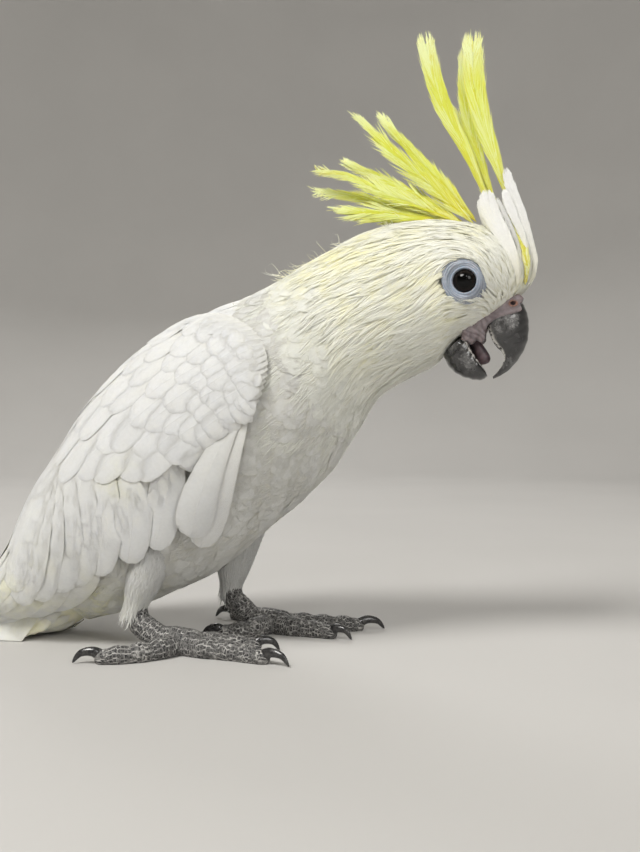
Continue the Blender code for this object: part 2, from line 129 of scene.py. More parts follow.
class Loft:
    # a surface through rings; place counts rings, angle is in degrees from the back, + to the left
    def __init__(self, rings, squareness=2.15, belly=0.0):
        self.rings = np.array(rings, float)
        self.power, self.belly = 2 / squareness, belly

    def at(self, place, angle, lift=0.0):
        place, angle, lift = np.broadcast_arrays(np.asarray(place, float), angle, lift)
        picked = smoothPick(self.rings, place)
        top, bottom = picked[..., 0:2], picked[..., 2:4]
        span = top - bottom
        half = np.linalg.norm(span, axis=-1) / 2
        up = span / (2 * half[..., None])
        c, s = np.cos(np.radians(angle)), np.sin(np.radians(angle))
        rise = np.sign(c) * np.abs(c) ** self.power * (half + lift)
        side = np.sign(s) * np.abs(s) ** self.power * (picked[..., 4] + lift) * (1 - self.belly * c)
        spot = (top + bottom) / 2 + up * rise[..., None]
        return np.stack([spot[..., 0], side, spot[..., 1]], axis=-1)

    def slopes(self, place, angle):
        # how the surface runs for one ring, and for one degree
        ring, degrees = 0.05, 1.5
        place = np.clip(place, ring, len(self.rings) - 1 - ring)
        place, angle = np.broadcast_arrays(place, np.asarray(angle, float))
        forward = (self.at(place + ring, angle) - self.at(place - ring, angle)) / (2 * ring)
        around = (self.at(place, angle + degrees) - self.at(place, angle - degrees)) / (2 * degrees)
        return forward, around

    def normal(self, place, angle):
        forward, around = self.slopes(place, angle)
        return unit(np.cross(forward, around))


class TailFan(Loft):
    # the top of the spread tail; angle runs from -90 at the right edge to 90 at the left
    rimHeight, floorGap = 1.2, 0.15

    def at(self, place, angle, lift=0.0):
        place, angle, lift = np.broadcast_arrays(np.asarray(place, float), angle, lift)
        picked = smoothPick(self.rings, place)
        share = np.clip(angle / 90, -1.05, 1.05)
        top, bottom = picked[..., 0:2], np.maximum(picked[..., 2:4], (-1e9, 0.0))
        rim = bottom + unit(top - bottom) * self.rimHeight
        spot = rim + (top - rim) * np.sqrt(np.maximum(1 - share ** 2, 0.0))[..., None]
        spot = spot + unit(top - bottom) * lift[..., None]
        up = np.maximum(spot[..., 1], self.floorGap)
        return np.stack([spot[..., 0], picked[..., 4] * share, up], axis=-1)


body = Loft(bodyRings)
wing = Loft(wingRings)
tail = TailFan(tailRings)
eyeSpots = [np.array([eye["x"], side * eye["y"], eye["z"]]) for side in (-1, 1)]


def makeObject(name, points, faces, smooth=60):
    # a new object from points in mm; edges sharper than smooth, in degrees, stay sharp
    mesh = bpy.data.meshes.new(name)
    mesh.from_pydata([tuple(p) for p in (np.asarray(points) + shift) * mm], [], faces)
    mesh.validate()
    made = bpy.data.objects.new(name, mesh)
    bpy.context.scene.collection.objects.link(made)
    mesh.shade_smooth()
    mesh.set_sharp_from_angle(angle=math.radians(smooth))
    return made


def settle(made, material, slot, *nodes):
    # gives a piece its material, its body and the solids that it stands for; slot is not used
    made.data.materials.clear()
    made.data.materials.append(material)
    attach(made, "root")
    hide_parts(*nodes)
    return made


def paint(made, layer, values):
    # keeps one number for each point of a mesh, for its material to read
    made.data.attributes.new(layer, "FLOAT", "POINT").data.foreach_set("value", np.ravel(values))


def deselect():
    bpy.ops.object.select_all(action="DESELECT")


def tubeMesh(rings):
    # a closed tube through rings of points, (rings, around, 3)
    count, around = rings.shape[:2]
    points = np.concatenate([rings.reshape(-1, 3), rings[0].mean(0)[None], rings[-1].mean(0)[None]])
    faces = []
    for i in range(count - 1):
        for k in range(around):
            n = (k + 1) % around
            faces.append((i * around + k, i * around + n, (i + 1) * around + n, (i + 1) * around + k))
    for k in range(around):
        n = (k + 1) % around
        faces.append((count * around, n, k))
        faces.append((count * around + 1, (count - 1) * around + k, (count - 1) * around + n))
    return points, faces


def pipe(path, radii, around=16):
    # a tube along a path, with rounded ends
    path, radii = np.asarray(path, float), np.asarray(radii, float)
    ahead = unit(np.gradient(path, axis=0))
    side = unit(np.cross(ahead, upwards))
    up = np.cross(side, ahead)
    turn = np.linspace(0, 2 * math.pi, around, endpoint=False)
    ends = ((0.92, 0.35), (0.7, 0.7), (0.35, 0.93))  # how far out, and how wide, as shares of the radius
    steps = [(0, -out, small) for out, small in ends]
    steps += [(k, 0.0, 1.0) for k in range(len(path))]
    steps += [(-1, out, small) for out, small in reversed(ends)]
    rings = []
    for k, out, small in steps:
        middle = path[k] + ahead[k] * radii[k] * out
        circle = np.cos(turn)[:, None] * side[k] + np.sin(turn)[:, None] * up[k]
        rings.append(middle + radii[k] * small * circle)
    return tubeMesh(np.array(rings))


def joined(parts):
    points, faces, count = [], [], 0
    for spots, sides in parts:
        points.append(spots)
        faces += [tuple(count + k for k in face) for face in sides]
        count += len(spots)
    return np.concatenate(points), faces


def remesh(made, size, smoothing=0):
    # fuses what overlaps into one skin
    deselect()
    made.select_set(True)
    bpy.context.view_layer.objects.active = made
    fuse = made.modifiers.new("fuse", "REMESH")
    fuse.mode, fuse.voxel_size = "VOXEL", size * mm
    bpy.ops.object.modifier_apply(modifier=fuse.name)
    if smoothing:
        soften = made.modifiers.new("soften", "SMOOTH")
        soften.iterations, soften.factor = smoothing, 0.5
        bpy.ops.object.modifier_apply(modifier=soften.name)
    made.data.shade_smooth()
    return made


def coordinates(made):
    # the points of a mesh in mm
    spots = np.empty(len(made.data.vertices) * 3)
    made.data.vertices.foreach_get("co", spots)
    return spots.reshape(-1, 3) / mm - shift


def moveTo(made, spots):
    made.data.vertices.foreach_set("co", ((spots + shift) * mm).ravel())
    made.data.update()


def normals(made):
    found = np.empty(len(made.data.vertices) * 3)
    made.data.vertices.foreach_get("normal", found)
    return found.reshape(-1, 3)


# Vanes and strands

# How far along a vane its rows lie, and how wide it is there; both ends are points
contour = {"rows": (0, 0.1, 0.3, 0.55, 0.76, 0.92, 1), "wide": (0, 0.5, 0.86, 1, 0.94, 0.6, 0)}
longVane = {"rows": (0, 0.04, 0.14, 0.28, 0.42, 0.56, 0.7, 0.82, 0.91, 0.97, 1),
            "wide": (0, 0.34, 0.62, 0.84, 0.95, 1, 1, 0.94, 0.78, 0.48, 0)}
strand = {"rows": (0, 0.25, 0.6, 1), "wide": (0, 1, 0.8, 0)}
wavyStrand = {"rows": (0, 0.15, 0.4, 0.7, 1), "wide": (0, 1, 0.95, 0.6, 0)}
contourRows, longRows, wavyRows = (np.array(shape["rows"]) for shape in (contour, longVane, wavyStrand))

# The columns of a vane, as shares of its half width
threeAcross = (-1, 0, 1)
fiveAcross = (-1, -0.5, 0, 0.5, 1)
sevenAcross = (-1, -0.8, -0.4, 0, 0.4, 0.8, 1)
threeUnder = (0.6, 0, -0.6)


def stripFaces(rows, ring):
    # triangles of one closed strip: a point at each end, and rings of points between
    rings = rows - 2
    last = 1 + rings * ring
    faces = []
    for k in range(ring):
        n = (k + 1) % ring
        faces.append((0, 1 + k, 1 + n))
        for i in range(rings - 1):
            a, b = 1 + i * ring, 1 + (i + 1) * ring
            faces += [(a + k, b + k, b + n), (a + k, b + n, a + n)]
        faces.append((last, last - ring + n, last - ring + k))
    return np.array(faces)


def walk(surface, place, angle, length, heading, rows):
    # lines over a surface from their roots towards the tail; heading turns them, + towards the belly
    places, angles = [np.asarray(place, float)], [np.asarray(angle, float)]
    for k in range(len(rows) - 1):
        forward, around = surface.slopes(places[-1], angles[-1])
        stride = length * (rows[k + 1] - rows[k])
        turn = np.radians(heading(places[-1], angles[-1]) if callable(heading) else heading)
        sign = np.where(angles[-1] < 0, -1, 1)
        ahead = -unit(forward)
        across = unit(around - (around * ahead).sum(-1, keepdims=True) * ahead) * sign[:, None]
        wanted = (np.cos(turn)[..., None] * ahead + np.sin(turn)[..., None] * across) * stride[:, None]
        dPlace, dAngle = spread(forward, around, wanted)
        places.append(np.clip(places[-1] + dPlace, 0, len(surface.rings) - 1))
        angles.append(angles[-1] + dAngle)
    return np.stack(places, 1), np.stack(angles, 1)


def spread(forward, around, wanted):
    # how far in rings and in degrees a step over the surface goes
    a, b, c = (forward * forward).sum(-1), (forward * around).sum(-1), (around * around).sum(-1)
    f, g = (wanted * forward).sum(-1), (wanted * around).sum(-1)
    size = np.maximum(a * c - b * b, 1e-6)
    return (c * f - b * g) / size, (a * g - b * f) / size


def aside(surface, places, angles):
    # how far in rings and in degrees one mm to the left of travel goes
    forward, around = surface.slopes(places, angles)
    ahead = unit(np.gradient(surface.at(places, angles), axis=1))
    side = unit(np.cross(unit(np.cross(forward, around)), ahead))
    return spread(forward, around, side)


def sideways(surface, places, angles, offset):
    # the same lines moved aside by an offset in mm, + to the left of travel as seen from outside
    dPlace, dAngle = aside(surface, places, angles)
    return places + dPlace * offset, angles + dAngle * offset


def readRows(values, rows, where):
    # each line's own value at its own share of the way along
    return np.array([np.interp(at, rows, line) for at, line in zip(where, values)])


def lay(surface, places, angles, halfWidth, shape, lift, columns=threeAcross, under=(0,),
        dome=0.2, thick=0.3, tilt=0.0, fall=None):
    # closed vanes along lines over a surface, (n, rows); lift is how far they stand off it,
    # dome and tilt shape them across, and fall(reach) bends them over an edge
    ring = np.array(list(columns) + list(under), float)
    dPlace, dAngle = aside(surface, places, angles)
    half = np.asarray(halfWidth)[:, None] * np.array(shape["wide"])
    reach = half[..., None] * ring
    lift = np.broadcast_to(lift, places.shape)
    height = lift[..., None] + dome * half[..., None] * (1 - ring ** 2) + np.reshape(tilt, (-1, 1, 1)) * ring
    height[..., len(columns):] -= thick
    if fall:
        height += fall(reach)
    points = surface.at(places[..., None] + dPlace[..., None] * reach,
                        angles[..., None] + dAngle[..., None] * reach, height)
    ends = surface.at(places[:, [0, -1]], angles[:, [0, -1]], lift[:, [0, -1]])
    return closeStrips(ends[:, 0], points[:, 1:-1], ends[:, 1], reach[:, 1:-1], np.array(shape["rows"]))


def closeStrips(start, rings, end, reach, rows):
    # strips from their two ends and the rings between, with their own map across and along
    count, between, ring = rings.shape[:3]
    points = np.concatenate([start[:, None], rings.reshape(count, -1, 3), end[:, None]], axis=1)
    u = np.concatenate([np.zeros((count, 1)), reach.reshape(count, -1), np.zeros((count, 1))], axis=1)
    v = np.concatenate([[0], np.repeat(rows[1:-1], ring), [1]])
    return points, u, np.tile(v, (count, 1)), stripFaces(between + 2, ring)


class Coat:
    # gathers strips and makes them one mesh, with the maps that its material reads
    patch = (0.0015, 0.003)  # half width and length of a tuft's patch on the map at its root

    def __init__(self, rings=13):
        self.parts, self.count, self.rings = [], 0, rings

    def add(self, strips, place, angle, tone, length, keepOff=True):
        points, u, v, faces = strips
        if keepOff:
            kept = ~crossesEye(points)
            points, u, v = clearOfEyes(points[kept]), u[kept], v[kept]
            place, angle, tone = np.asarray(place)[kept], np.asarray(angle)[kept], np.asarray(tone)[kept]
            length = np.broadcast_to(length, kept.shape)[kept]
        roots = np.stack([(np.asarray(angle) / 360) % 1, np.asarray(place) / self.rings], -1)
        index = np.arange(len(points))[:, None, None] * points.shape[1] + faces + self.count
        width = np.maximum(np.abs(u).max(1, keepdims=True), 0.01)
        wide, long = self.patch
        patch = np.stack([roots[:, :1] + wide * u / width, roots[:, 1:] + long * (v - 0.5)], -1)
        vane = np.stack([u, v * np.reshape(length, (-1, 1))], -1) * 0.1
        self.parts.append((points.reshape(-1, 3), index.reshape(-1, 3), patch.reshape(-1, 2),
                           vane.reshape(-1, 2), np.repeat(tone, points.shape[1]), v.ravel()))
        self.count += points.shape[0] * points.shape[1]

    def build(self, name, material, slot, *nodes, smooth=60):
        points, faces, patch, vane, tone, along = (np.concatenate(p) for p in zip(*self.parts))
        mesh = bpy.data.meshes.new(name)
        mesh.vertices.add(len(points))
        mesh.vertices.foreach_set("co", ((points + shift) * mm).ravel())
        mesh.loops.add(faces.size)
        mesh.loops.foreach_set("vertex_index", faces.ravel())
        mesh.polygons.add(len(faces))
        mesh.polygons.foreach_set("loop_start", np.arange(len(faces)) * 3)
        for layer, values in (("OFBake", patch), ("vane", vane)):
            mesh.uv_layers.new(name=layer).data.foreach_set("uv", values[faces.ravel()].ravel())
        for layer, values in (("tone", tone), ("along", along)):
            mesh.attributes.new(layer, "FLOAT", "POINT").data.foreach_set("value", values)
        mesh.update(calc_edges=True)
        mesh.shade_smooth()
        mesh.set_sharp_from_angle(angle=math.radians(smooth))
        made = bpy.data.objects.new(name, mesh)
        bpy.context.scene.collection.objects.link(made)
        print(name, len(faces), "triangles")
        return settle(made, material, slot, *nodes)


def crossesEye(points):
    # true for the strips that would cross an eye
    found = np.zeros(len(points), bool)
    for spot in eyeSpots:
        away = np.hypot(points[..., 0] - spot[0], points[..., 2] - spot[2])
        found |= ((away < 0.66 * eye["ring"]) & (points[..., 1] * spot[1] > 0)).any(1)
    return found


def clearOfEyes(points):
    # pushes a coat aside, so that it parts round the bare skin of the eye
    for spot, side in zip(eyeSpots, (-1, 1)):
        outward = unit(np.array([0.06, side * 1.0, 0.10]))
        away = points - spot
        depth = (away * outward).sum(-1, keepdims=True)
        flat = away - depth * outward
        far = np.linalg.norm(flat, axis=-1, keepdims=True) + 1e-6
        turn = np.arctan2(flat[..., 2], flat[..., 0])[..., None]
        uneven = 0.28 * np.sin(29 * turn + 1) + 0.22 * np.sin(53 * turn) + 0.3 * np.sin(11 * turn + 2)
        edge = ringEdge(turn) + 0.1 + uneven
        pushed = (far ** 12 + edge ** 12) ** (1 / 12)
        near = (far < 2.2 * edge) & (depth > -9)
        points = np.where(near, spot + depth * outward + flat / far * pushed, points)
    return points


def ringEdge(turn):
    # how far the bare skin reaches from the eye; it draws out to a point at the upper back
    corner = np.exp(-((np.angle(np.exp(1j * (turn - math.radians(146)))) / 0.4) ** 2))
    return eye["ring"] * (1 - 0.03 * np.cos(2 * turn)) + 1.5 * corner


def sowRoots(surface, start, end, spacing, angles=(-180.0, 180.0)):
    # staggered rows of roots, spacing mm (or spacing(place) mm) apart, from start down to end
    grid = np.linspace(*angles, 181)
    place, row, found = start, 0, []
    passed = np.full(len(grid), 0.5)
    while place > end:
        gap = spacing(place) if callable(spacing) else spacing
        ring = surface.at(place, grid)
        travelled = pathLength(ring)
        count = max(4, int(travelled[-1] / gap))
        spots = (np.arange(count) + 0.618 * row + rng.uniform(-0.2, 0.2, count)) % count
        angle = np.interp(spots / count * travelled[-1], travelled, grid)
        reach = np.linalg.norm(surface.slopes(place, grid)[0], axis=-1)
        step = gap / reach.max()
        uneven = rng.uniform(-0.15, 0.15, count)
        before = np.interp(angle, grid, passed) + uneven
        passed = passed + reach / reach.max()
        kept = np.floor(np.interp(angle, grid, passed) + uneven) > np.floor(before)
        found.append(np.stack([place + rng.uniform(-0.25, 0.25, count) * step, angle], 1)[kept])
        place -= step
        row += 1
    return np.concatenate(found)


# Materials

def newGroup(name, inputs, outputs):
    group = bpy.data.node_groups.new(name, "ShaderNodeTree")
    for kind, label, value in inputs:
        socket = group.interface.new_socket(label, in_out="INPUT", socket_type=kind)
        socket.default_value = value
    for kind, label in outputs:
        group.interface.new_socket(label, in_out="OUTPUT", socket_type=kind)
    return group


class Wires:
    # short ways to add and join shader nodes in one tree
    def __init__(self, tree):
        self.tree = tree

    def node(self, kind, settings=None, **inputs):
        made = self.tree.nodes.new("ShaderNode" + kind)
        for key, value in (settings or {}).items():
            setattr(made, key, value)
        for key, value in inputs.items():
            self.feed(made, key.replace("_", " "), value)
        return made

    def feed(self, made, key, value):
        # joins a socket, by its name or as n and its number, or sets it to a fixed value
        socket = made.inputs[int(key[1:])] if key[0] == "n" and key[1:].isdigit() else made.inputs[key]
        if isinstance(value, bpy.types.NodeSocket):
            self.tree.links.new(value, socket)
        else:
            socket.default_value = value

    def math(self, operation, a, b=0.0, c=0.0, clamp=False):
        return self.node("Math", {"operation": operation, "use_clamp": clamp}, n0=a, n1=b, n2=c).outputs[0]

    def mix(self, share, a, b, blend="MIX"):
        made = self.tree.nodes.new("ShaderNodeMix")
        made.data_type, made.blend_type, made.clamp_factor = "RGBA", blend, True
        for index, value in ((0, share), (6, a), (7, b)):
            self.feed(made, f"n{index}", value)
        return made.outputs[2]

    def ramp(self, value, low, high, start=0.0, end=1.0):
        return self.node("MapRange", {"interpolation_type": "SMOOTHSTEP"}, Value=value, From_Min=low,
                         From_Max=high, To_Min=start, To_Max=end).outputs[0]

    def times(self, a, b, clamp=False):
        return self.math("MULTIPLY", a, b, clamp=clamp)

    def attribute(self, name, output="Fac"):
        return self.node("Attribute", {"attribute_name": name}).outputs[output]

    def place(self):
        return self.node("TexCoord").outputs["Object"]

    def noise(self, vector, scale, detail=3.0, rough=0.5):
        made = self.node("TexNoise", None, Vector=vector, Scale=scale, Detail=detail, Roughness=rough)
        return made.outputs["Fac"]

    def cells(self, vector, scale, settings=None, output="Distance", **inputs):
        return self.node("TexVoronoi", settings, Vector=vector, Scale=scale, **inputs).outputs[output]

    def split(self, vector):
        return self.node("SeparateXYZ", None, Vector=vector).outputs

    def bothSides(self, place):
        # the same place on the left side, for marks that both sides have
        ahead, side, up = self.split(place)
        left = self.math("ABSOLUTE", side)
        return self.node("CombineXYZ", None, X=ahead, Y=left, Z=up).outputs[0]

    def near(self, place, spot, low, high):
        # 1 inside a ball round a spot in mm, fading to 0
        centre = tuple((np.array(spot) + shift) * mm)
        away = self.node("VectorMath", {"operation": "DISTANCE"}, n0=place, n1=centre).outputs["Value"]
        return self.ramp(away, low * mm, high * mm, 1.0, 0.0)

    def relief(self, shader, height, strength, depth):
        bump = self.node("Bump", None, Strength=strength, Distance=depth * mm, Height=height)
        self.feed(shader, "Normal", bump.outputs["Normal"])


def newMaterial(name, **settings):
    # a Principled material, its own wires and its shader
    material = bpy.data.materials.new(name)
    material.use_nodes = True
    wires = Wires(material.node_tree)
    shader = material.node_tree.nodes["Principled BSDF"]
    for key, value in settings.items():
        shader.inputs[key.replace("_", " ")].default_value = value
    return material, wires, shader


yellowWash = (  # where the pale yellow lies: spot, where it starts to fade, where it ends, amount
    ((58, 6, 172), 14, 52, 0.62),   # back of the neck
    ((84, 22, 160), 4, 26, 0.5),
    ((99, 20, 152), 2, 17, 0.35),   # ear
    ((107, 10, 186), 6, 24, 0.3),
    ((132, 9, 166), 2, 12, 0.4),    # brow
    ((-70, 12, 20), 10, 55, 0.5),   # under the tail
    ((60, 26, 150), 8, 40, 0.3),
    ((-35, 42, 80), 3, 17, 0.45),   # middle of the folded wing
    ((-95, 30, 22), 4, 22, 0.45),   # tips of the long feathers
)


def makeTintGroup():
    # the wash of pale yellow that the white plumage has, and painted shade towards each feather's root, the
    # same on skin and coat
    colour, number = "NodeSocketColor", "NodeSocketFloat"
    group = newGroup("plumageTint", [(colour, "White", (0.85, 0.84, 0.8, 1)),
                                     (colour, "Wash", (0.88, 0.83, 0.42, 1)),
                                     (colour, "Shade", (0.62, 0.58, 0.48, 1)), (number, "Tone", 0.5),
                                     (number, "Along", 0.5)], [(colour, "Color")])
    wires = Wires(group)
    given = group.nodes.new("NodeGroupInput").outputs
    place = wires.place()
    mirrored = wires.bothSides(place)
    washes = None
    for spot, low, high, amount in yellowWash:
        here = wires.times(wires.near(mirrored, spot, low, high), amount)
        washes = wires.math("MAXIMUM", washes, here) if washes else here
    patchy = wires.ramp(wires.noise(place, 75.0, 4.0, 0.6), 0.38, 0.66, 0.25, 1.2)
    rooty = wires.ramp(given["Along"], 0.15, 0.9, 1.25, 0.55)
    own = wires.ramp(given["Tone"], 0.0, 1.0, 0.5, 1.35)
    washes = wires.times(wires.times(washes, patchy), wires.times(rooty, own), clamp=True)
    coloured = wires.mix(washes, given["White"], given["Wash"])
    # painted shade: near its root, where it lies under other feathers, each feather turns towards the Shade
    # colour
    rootShade = wires.times(wires.ramp(given["Along"], 0.0, 0.7, 1.0, 0.0), 0.6)
    coloured = wires.mix(rootShade, coloured, given["Shade"])
    grain = wires.ramp(wires.noise(place, 700.0, 2.0), 0.3, 0.7, 0.975, 1.012)
    tone = wires.times(grain, wires.ramp(given["Tone"], 0.0, 1.0, 0.97, 1.02))
    grey = wires.node("CombineColor", None, Red=tone, Green=tone, Blue=tone).outputs[0]
    out = group.nodes.new("NodeGroupOutput")
    group.links.new(wires.mix(1.0, coloured, grey, "MULTIPLY"), out.inputs["Color"])
    return group


def makeBarbGroup():
    # fine slanting barbs either side of a shaft, read from a vane's own map in centimetres
    group = newGroup("barbs", [("NodeSocketFloat", "Fineness", 190.0), ("NodeSocketFloat", "Slant", 1.3)],
                     [("NodeSocketFloat", "Height"), ("NodeSocketFloat", "Shaft")])
    wires = Wires(group)
    given = group.nodes.new("NodeGroupInput").outputs
    u, v, _ = wires.split(wires.node("UVMap", {"uv_map": "vane"}).outputs[0])
    out = group.nodes.new("NodeGroupOutput")
    fromShaft = wires.math("ABSOLUTE", u)
    slanted = wires.math("SUBTRACT", v, wires.times(fromShaft, given["Slant"]))
    frayed = wires.noise(wires.node("CombineXYZ", None, X=u, Y=v, Z=0.0).outputs[0], 6.0, 2.0)
    phase = wires.math("ADD", wires.times(slanted, given["Fineness"]), wires.times(frayed, 4.0))
    wave = wires.math("MULTIPLY_ADD", wires.math("SINE", phase), 0.5, 0.5)
    shaft = wires.ramp(fromShaft, 0.006, 0.035, 1.0, 0.0)
    group.links.new(wires.math("ADD", wires.times(wave, 0.5), shaft), out.inputs["Height"])
    group.links.new(shaft, out.inputs["Shaft"])
    return group


tintGroup = makeTintGroup()
barbGroup = makeBarbGroup()


# the third colour of each white is the painted shade at the feather roots
white = {  # white, wash of yellow, shade at the roots, relief of the barbs, light let in and how deep in mm
    # painted shade: coat (flanks and belly), neck (and breast) and wing (also used on mantle, tail and
    # thighs) are darker copies of the one white that head and plumes have
    "coat": ((0.74, 0.73, 0.665, 1), (0.90, 0.86, 0.40, 1), (0.70, 0.67, 0.54, 1), 0.25, 0.4, 1.5),
    "head": ((0.88, 0.88, 0.795, 1), (0.90, 0.86, 0.40, 1), (0.66, 0.62, 0.40, 1), 0.0, 0.2, 1.0),
    "neck": ((0.77, 0.77, 0.69, 1), (0.90, 0.86, 0.40, 1), (0.69, 0.66, 0.51, 1), 0.2, 0.3, 1.0),
    "wing": ((0.715, 0.715, 0.695, 1), (0.80, 0.78, 0.46, 1), (0.72, 0.71, 0.64, 1), 0.3, 0.3, 1.5),
    "plume": ((0.89, 0.885, 0.85, 1), (0.90, 0.86, 0.40, 1), (0.82, 0.79, 0.60, 1), 0.0, 0.25, 1.0),
    "skin": ((0.80, 0.79, 0.73, 1), (0.90, 0.86, 0.40, 1), (0.80, 0.77, 0.64, 1), 0.0, 0.5, 3.0),
}
whiteRoughness, barbDepth = 0.62, 0.2


def makeWhite(name):
    # one of the white finishes, named after what it is for
    clean, wash, shade, barbs, through, depth = white[name]
    material, wires, shader = newMaterial(name + "White", Roughness=whiteRoughness, Subsurface_Weight=through,
                                          Subsurface_Scale=depth * mm, Sheen_Weight=0.12, Sheen_Roughness=0.5,
                                          Specular_IOR_Level=0.25)
    shader.inputs["Subsurface Radius"].default_value = (1.0, 0.9, 0.7)
    tint = wires.node("Group", {"node_tree": tintGroup}, White=clean, Wash=wash, Shade=shade,
                      Tone=wires.attribute("tone"), Along=wires.attribute("along"))
    wires.feed(shader, "Base Color", tint.outputs["Color"])
    if barbs:
        fine = wires.node("Group", {"node_tree": barbGroup})
        wires.relief(shader, fine.outputs["Height"], barbs, barbDepth)
    return material


coatWhite, headWhite, neckWhite, wingWhite, plumeWhite, skinWhite = (makeWhite(name) for name in white)


def makeCrestYellow(name, pale, rich, lemon, faded):
    # rich at the roots, lemon along the barbs and faded at their tips; pale is how much single barbs fade
    material, wires, shader = newMaterial(name, Roughness=0.55, Subsurface_Weight=0.2, Subsurface_Scale=0.002,
                                          Specular_IOR_Level=0.25, Sheen_Weight=0.05)
    tone, along = wires.attribute("tone"), wires.attribute("along")
    base = wires.mix(wires.ramp(along, 0.0, 0.5), rich, lemon)
    tip = wires.mix(wires.ramp(along, 0.72, 1.0), base, faded)
    varied = wires.mix(wires.ramp(tone, 0.3, 1.0, 0.0, pale), tip, faded)
    deeper = wires.mix(wires.ramp(tone, 0.0, 0.5, 0.5, 0.0), varied, rich)
    wires.feed(shader, "Base Color", deeper)
    return material


crestYellow = makeCrestYellow("crestYellow", 0.7, (0.70, 0.61, 0.02, 1), (0.74, 0.75, 0.085, 1),
                              (0.86, 0.87, 0.42, 1))
stripYellow = makeCrestYellow("stripYellow", 0.9, (0.60, 0.49, 0.04, 1), (0.70, 0.62, 0.09, 1),
                              (0.86, 0.83, 0.50, 1))


# The skin of the body, and of the feet

skinForm = {
    # how deep under the coat it lies, at each ring of the body
    "inset": (-2.2, -2.4, -2.6, -2.6, -2.5, -2.3, -2.1, -1.9, -1.7, -1.5, -1.4, -1.3, -1.2, -1.1),
    "voxel": 1.5, "smoothing": 2,
    # along 0.35 gives the skin part of the painted shade that feather roots get
    "tone": 0.5, "along": 0.35,    # what its material reads where a feather has its own
    "thigh": (11.5, 3.8),          # half thickness at the hip and above the foot
    "socket": (8.6, 10.6),         # from where to where, out from an eye, the socket's floor rises
    "socketFloor": 18.6, "socketRise": 4.5,
}
feetForm = {
    "voxel": 0.5, "smoothing": 4,
    "shin": (4.3, 5.2, 5.6, 5.7, 5.9, 5.3),  # half thickness from the ankle to the middle of the foot
    "toe": (5.0, 3.9),                       # half thickness at the root and behind the claw
    "plate": 2.1, "scale": 19,               # mm along a toe, degrees round it
    "relief": 0.30, "sunk": 0.18,
}
legs = {  # hip, ankle, middle of the foot
    "right": ((-27.0, -20.0, 54.0), (-37.0, -26.0, 19.0), (-16.0, -26.0, 5.0)),
    "left": ((-1.0, 20.0, 60.0), (-8.0, 25.0, 21.0), (12.0, 26.0, 5.0)),
}
toes = {  # start (forward, to the midline) on the foot, headings at start and end, length, claw's length
    "inner_front": ((13.2, 5.0), (6.0, 18.0), 19.0, 11.0),
    "outer_front": ((13.2, -5.4), (-6.0, -20.0), 29.0, 13.0),
    "inner_back": ((-4.6, 10.1), (122.0, 166.0), 17.0, 10.0),
    "outer_back": ((-4.6, -10.1), (-122.0, -166.0), 27.0, 12.0),
}
# The edges of the small feathers on a folded wing, as (place, angle) from the back to the lower edge
wingLeading = ((7.85, 4), (8.34, 36), (8.66, 64), (8.66, 82), (8.36, 92.5), (7.85, 99))
wingCovertTips = ((4.9, 3.5), (5.05, 33), (5.3, 58), (5.9, 76), (6.5, 90), (7.1, 101))


def toePath(side, name, steps=24):
    # the line of a toe over the floor, and which way it heads at its end
    sign = -1 if side == "right" else 1
    start, headings, length, _ = toes[name]
    foot = np.array(legs[side][2])
    spot = np.array([foot[0] + start[0], foot[1] - sign * start[1], 0.0])
    spots = []
    for k in range(steps + 1):
        spots.append(spot.copy())
        turn = math.radians(-sign * (headings[0] + (headings[1] - headings[0]) * k / steps))
        ahead = np.array([math.cos(turn), math.sin(turn), 0.0])
        spot = spot + ahead * length / steps
    return np.array(spots), ahead


def limbLines(side):
    # every line that the bare foot follows, with its half thickness; heights keep the soles on the floor
    sign = -1 if side == "right" else 1
    hip, ankle, foot = (np.array(p) for p in legs[side])
    shin = np.array([ankle + (0.2, 0, 5.0), ankle + (1.0, 0, -4.6), ankle + (4.4, 0, -8.4),
                     foot + (-9.0, 0, 1.0), foot + (-2.0, 0, 0.9), foot + (6.0, 0, 0.4)])
    fine = np.linspace(0, 5, 21)
    lines = [(smoothPick(shin, fine), np.interp(fine, range(6), feetForm["shin"]))]
    for name in toes:
        spots, _ = toePath(side, name)
        t = np.linspace(0, 1, len(spots))
        half = feetForm["toe"][0] + (feetForm["toe"][1] - feetForm["toe"][0]) * t
        joints = 2 if toes[name][2] < 22 else 3  # a short toe has one swelling fewer
        half = half * (1 + 0.07 * np.cos(2 * math.pi * joints * (t - 0.08)))
        half[-1] *= 0.86
        root = foot + np.array([2.0 if "front" in name else -1.0, -sign * toes[name][0][1] * 0.35, 0])
        root[2] = half[0] * 0.72
        spots[:, 2] = half * 0.70
        spots = np.concatenate([[root, (root + spots[0]) / 2], spots])
        lines.append((spots, np.concatenate([[half[0], half[0] * 1.02], half])))
    return lines


def nearestLine(spots, lines):
    # for each spot: how far along its limb in mm, how far round it in degrees, and which limb
    best = np.full(len(spots), np.inf)
    found = np.zeros((len(spots), 3))
    for number, (path, radii) in enumerate(lines):
        travelled = pathLength(path)
        ahead = unit(np.gradient(path, axis=0))
        for k in range(len(path) - 1):
            step = path[k + 1] - path[k]
            t = np.clip(((spots - path[k]) @ step) / (step @ step), 0, 1)
            away = spots - path[k] - t[:, None] * step
            far = np.linalg.norm(away, axis=1) - radii[k]
            closer = far < best
            side = unit(np.cross(ahead[k], upwards))
            turn = np.degrees(np.arctan2(away @ side, away @ np.cross(side, ahead[k])))
            along = travelled[k] + t * np.linalg.norm(step)
            found[closer] = np.stack([along, turn, np.full(len(spots), number)], 1)[closer]
            best[closer] = far[closer]
    return found


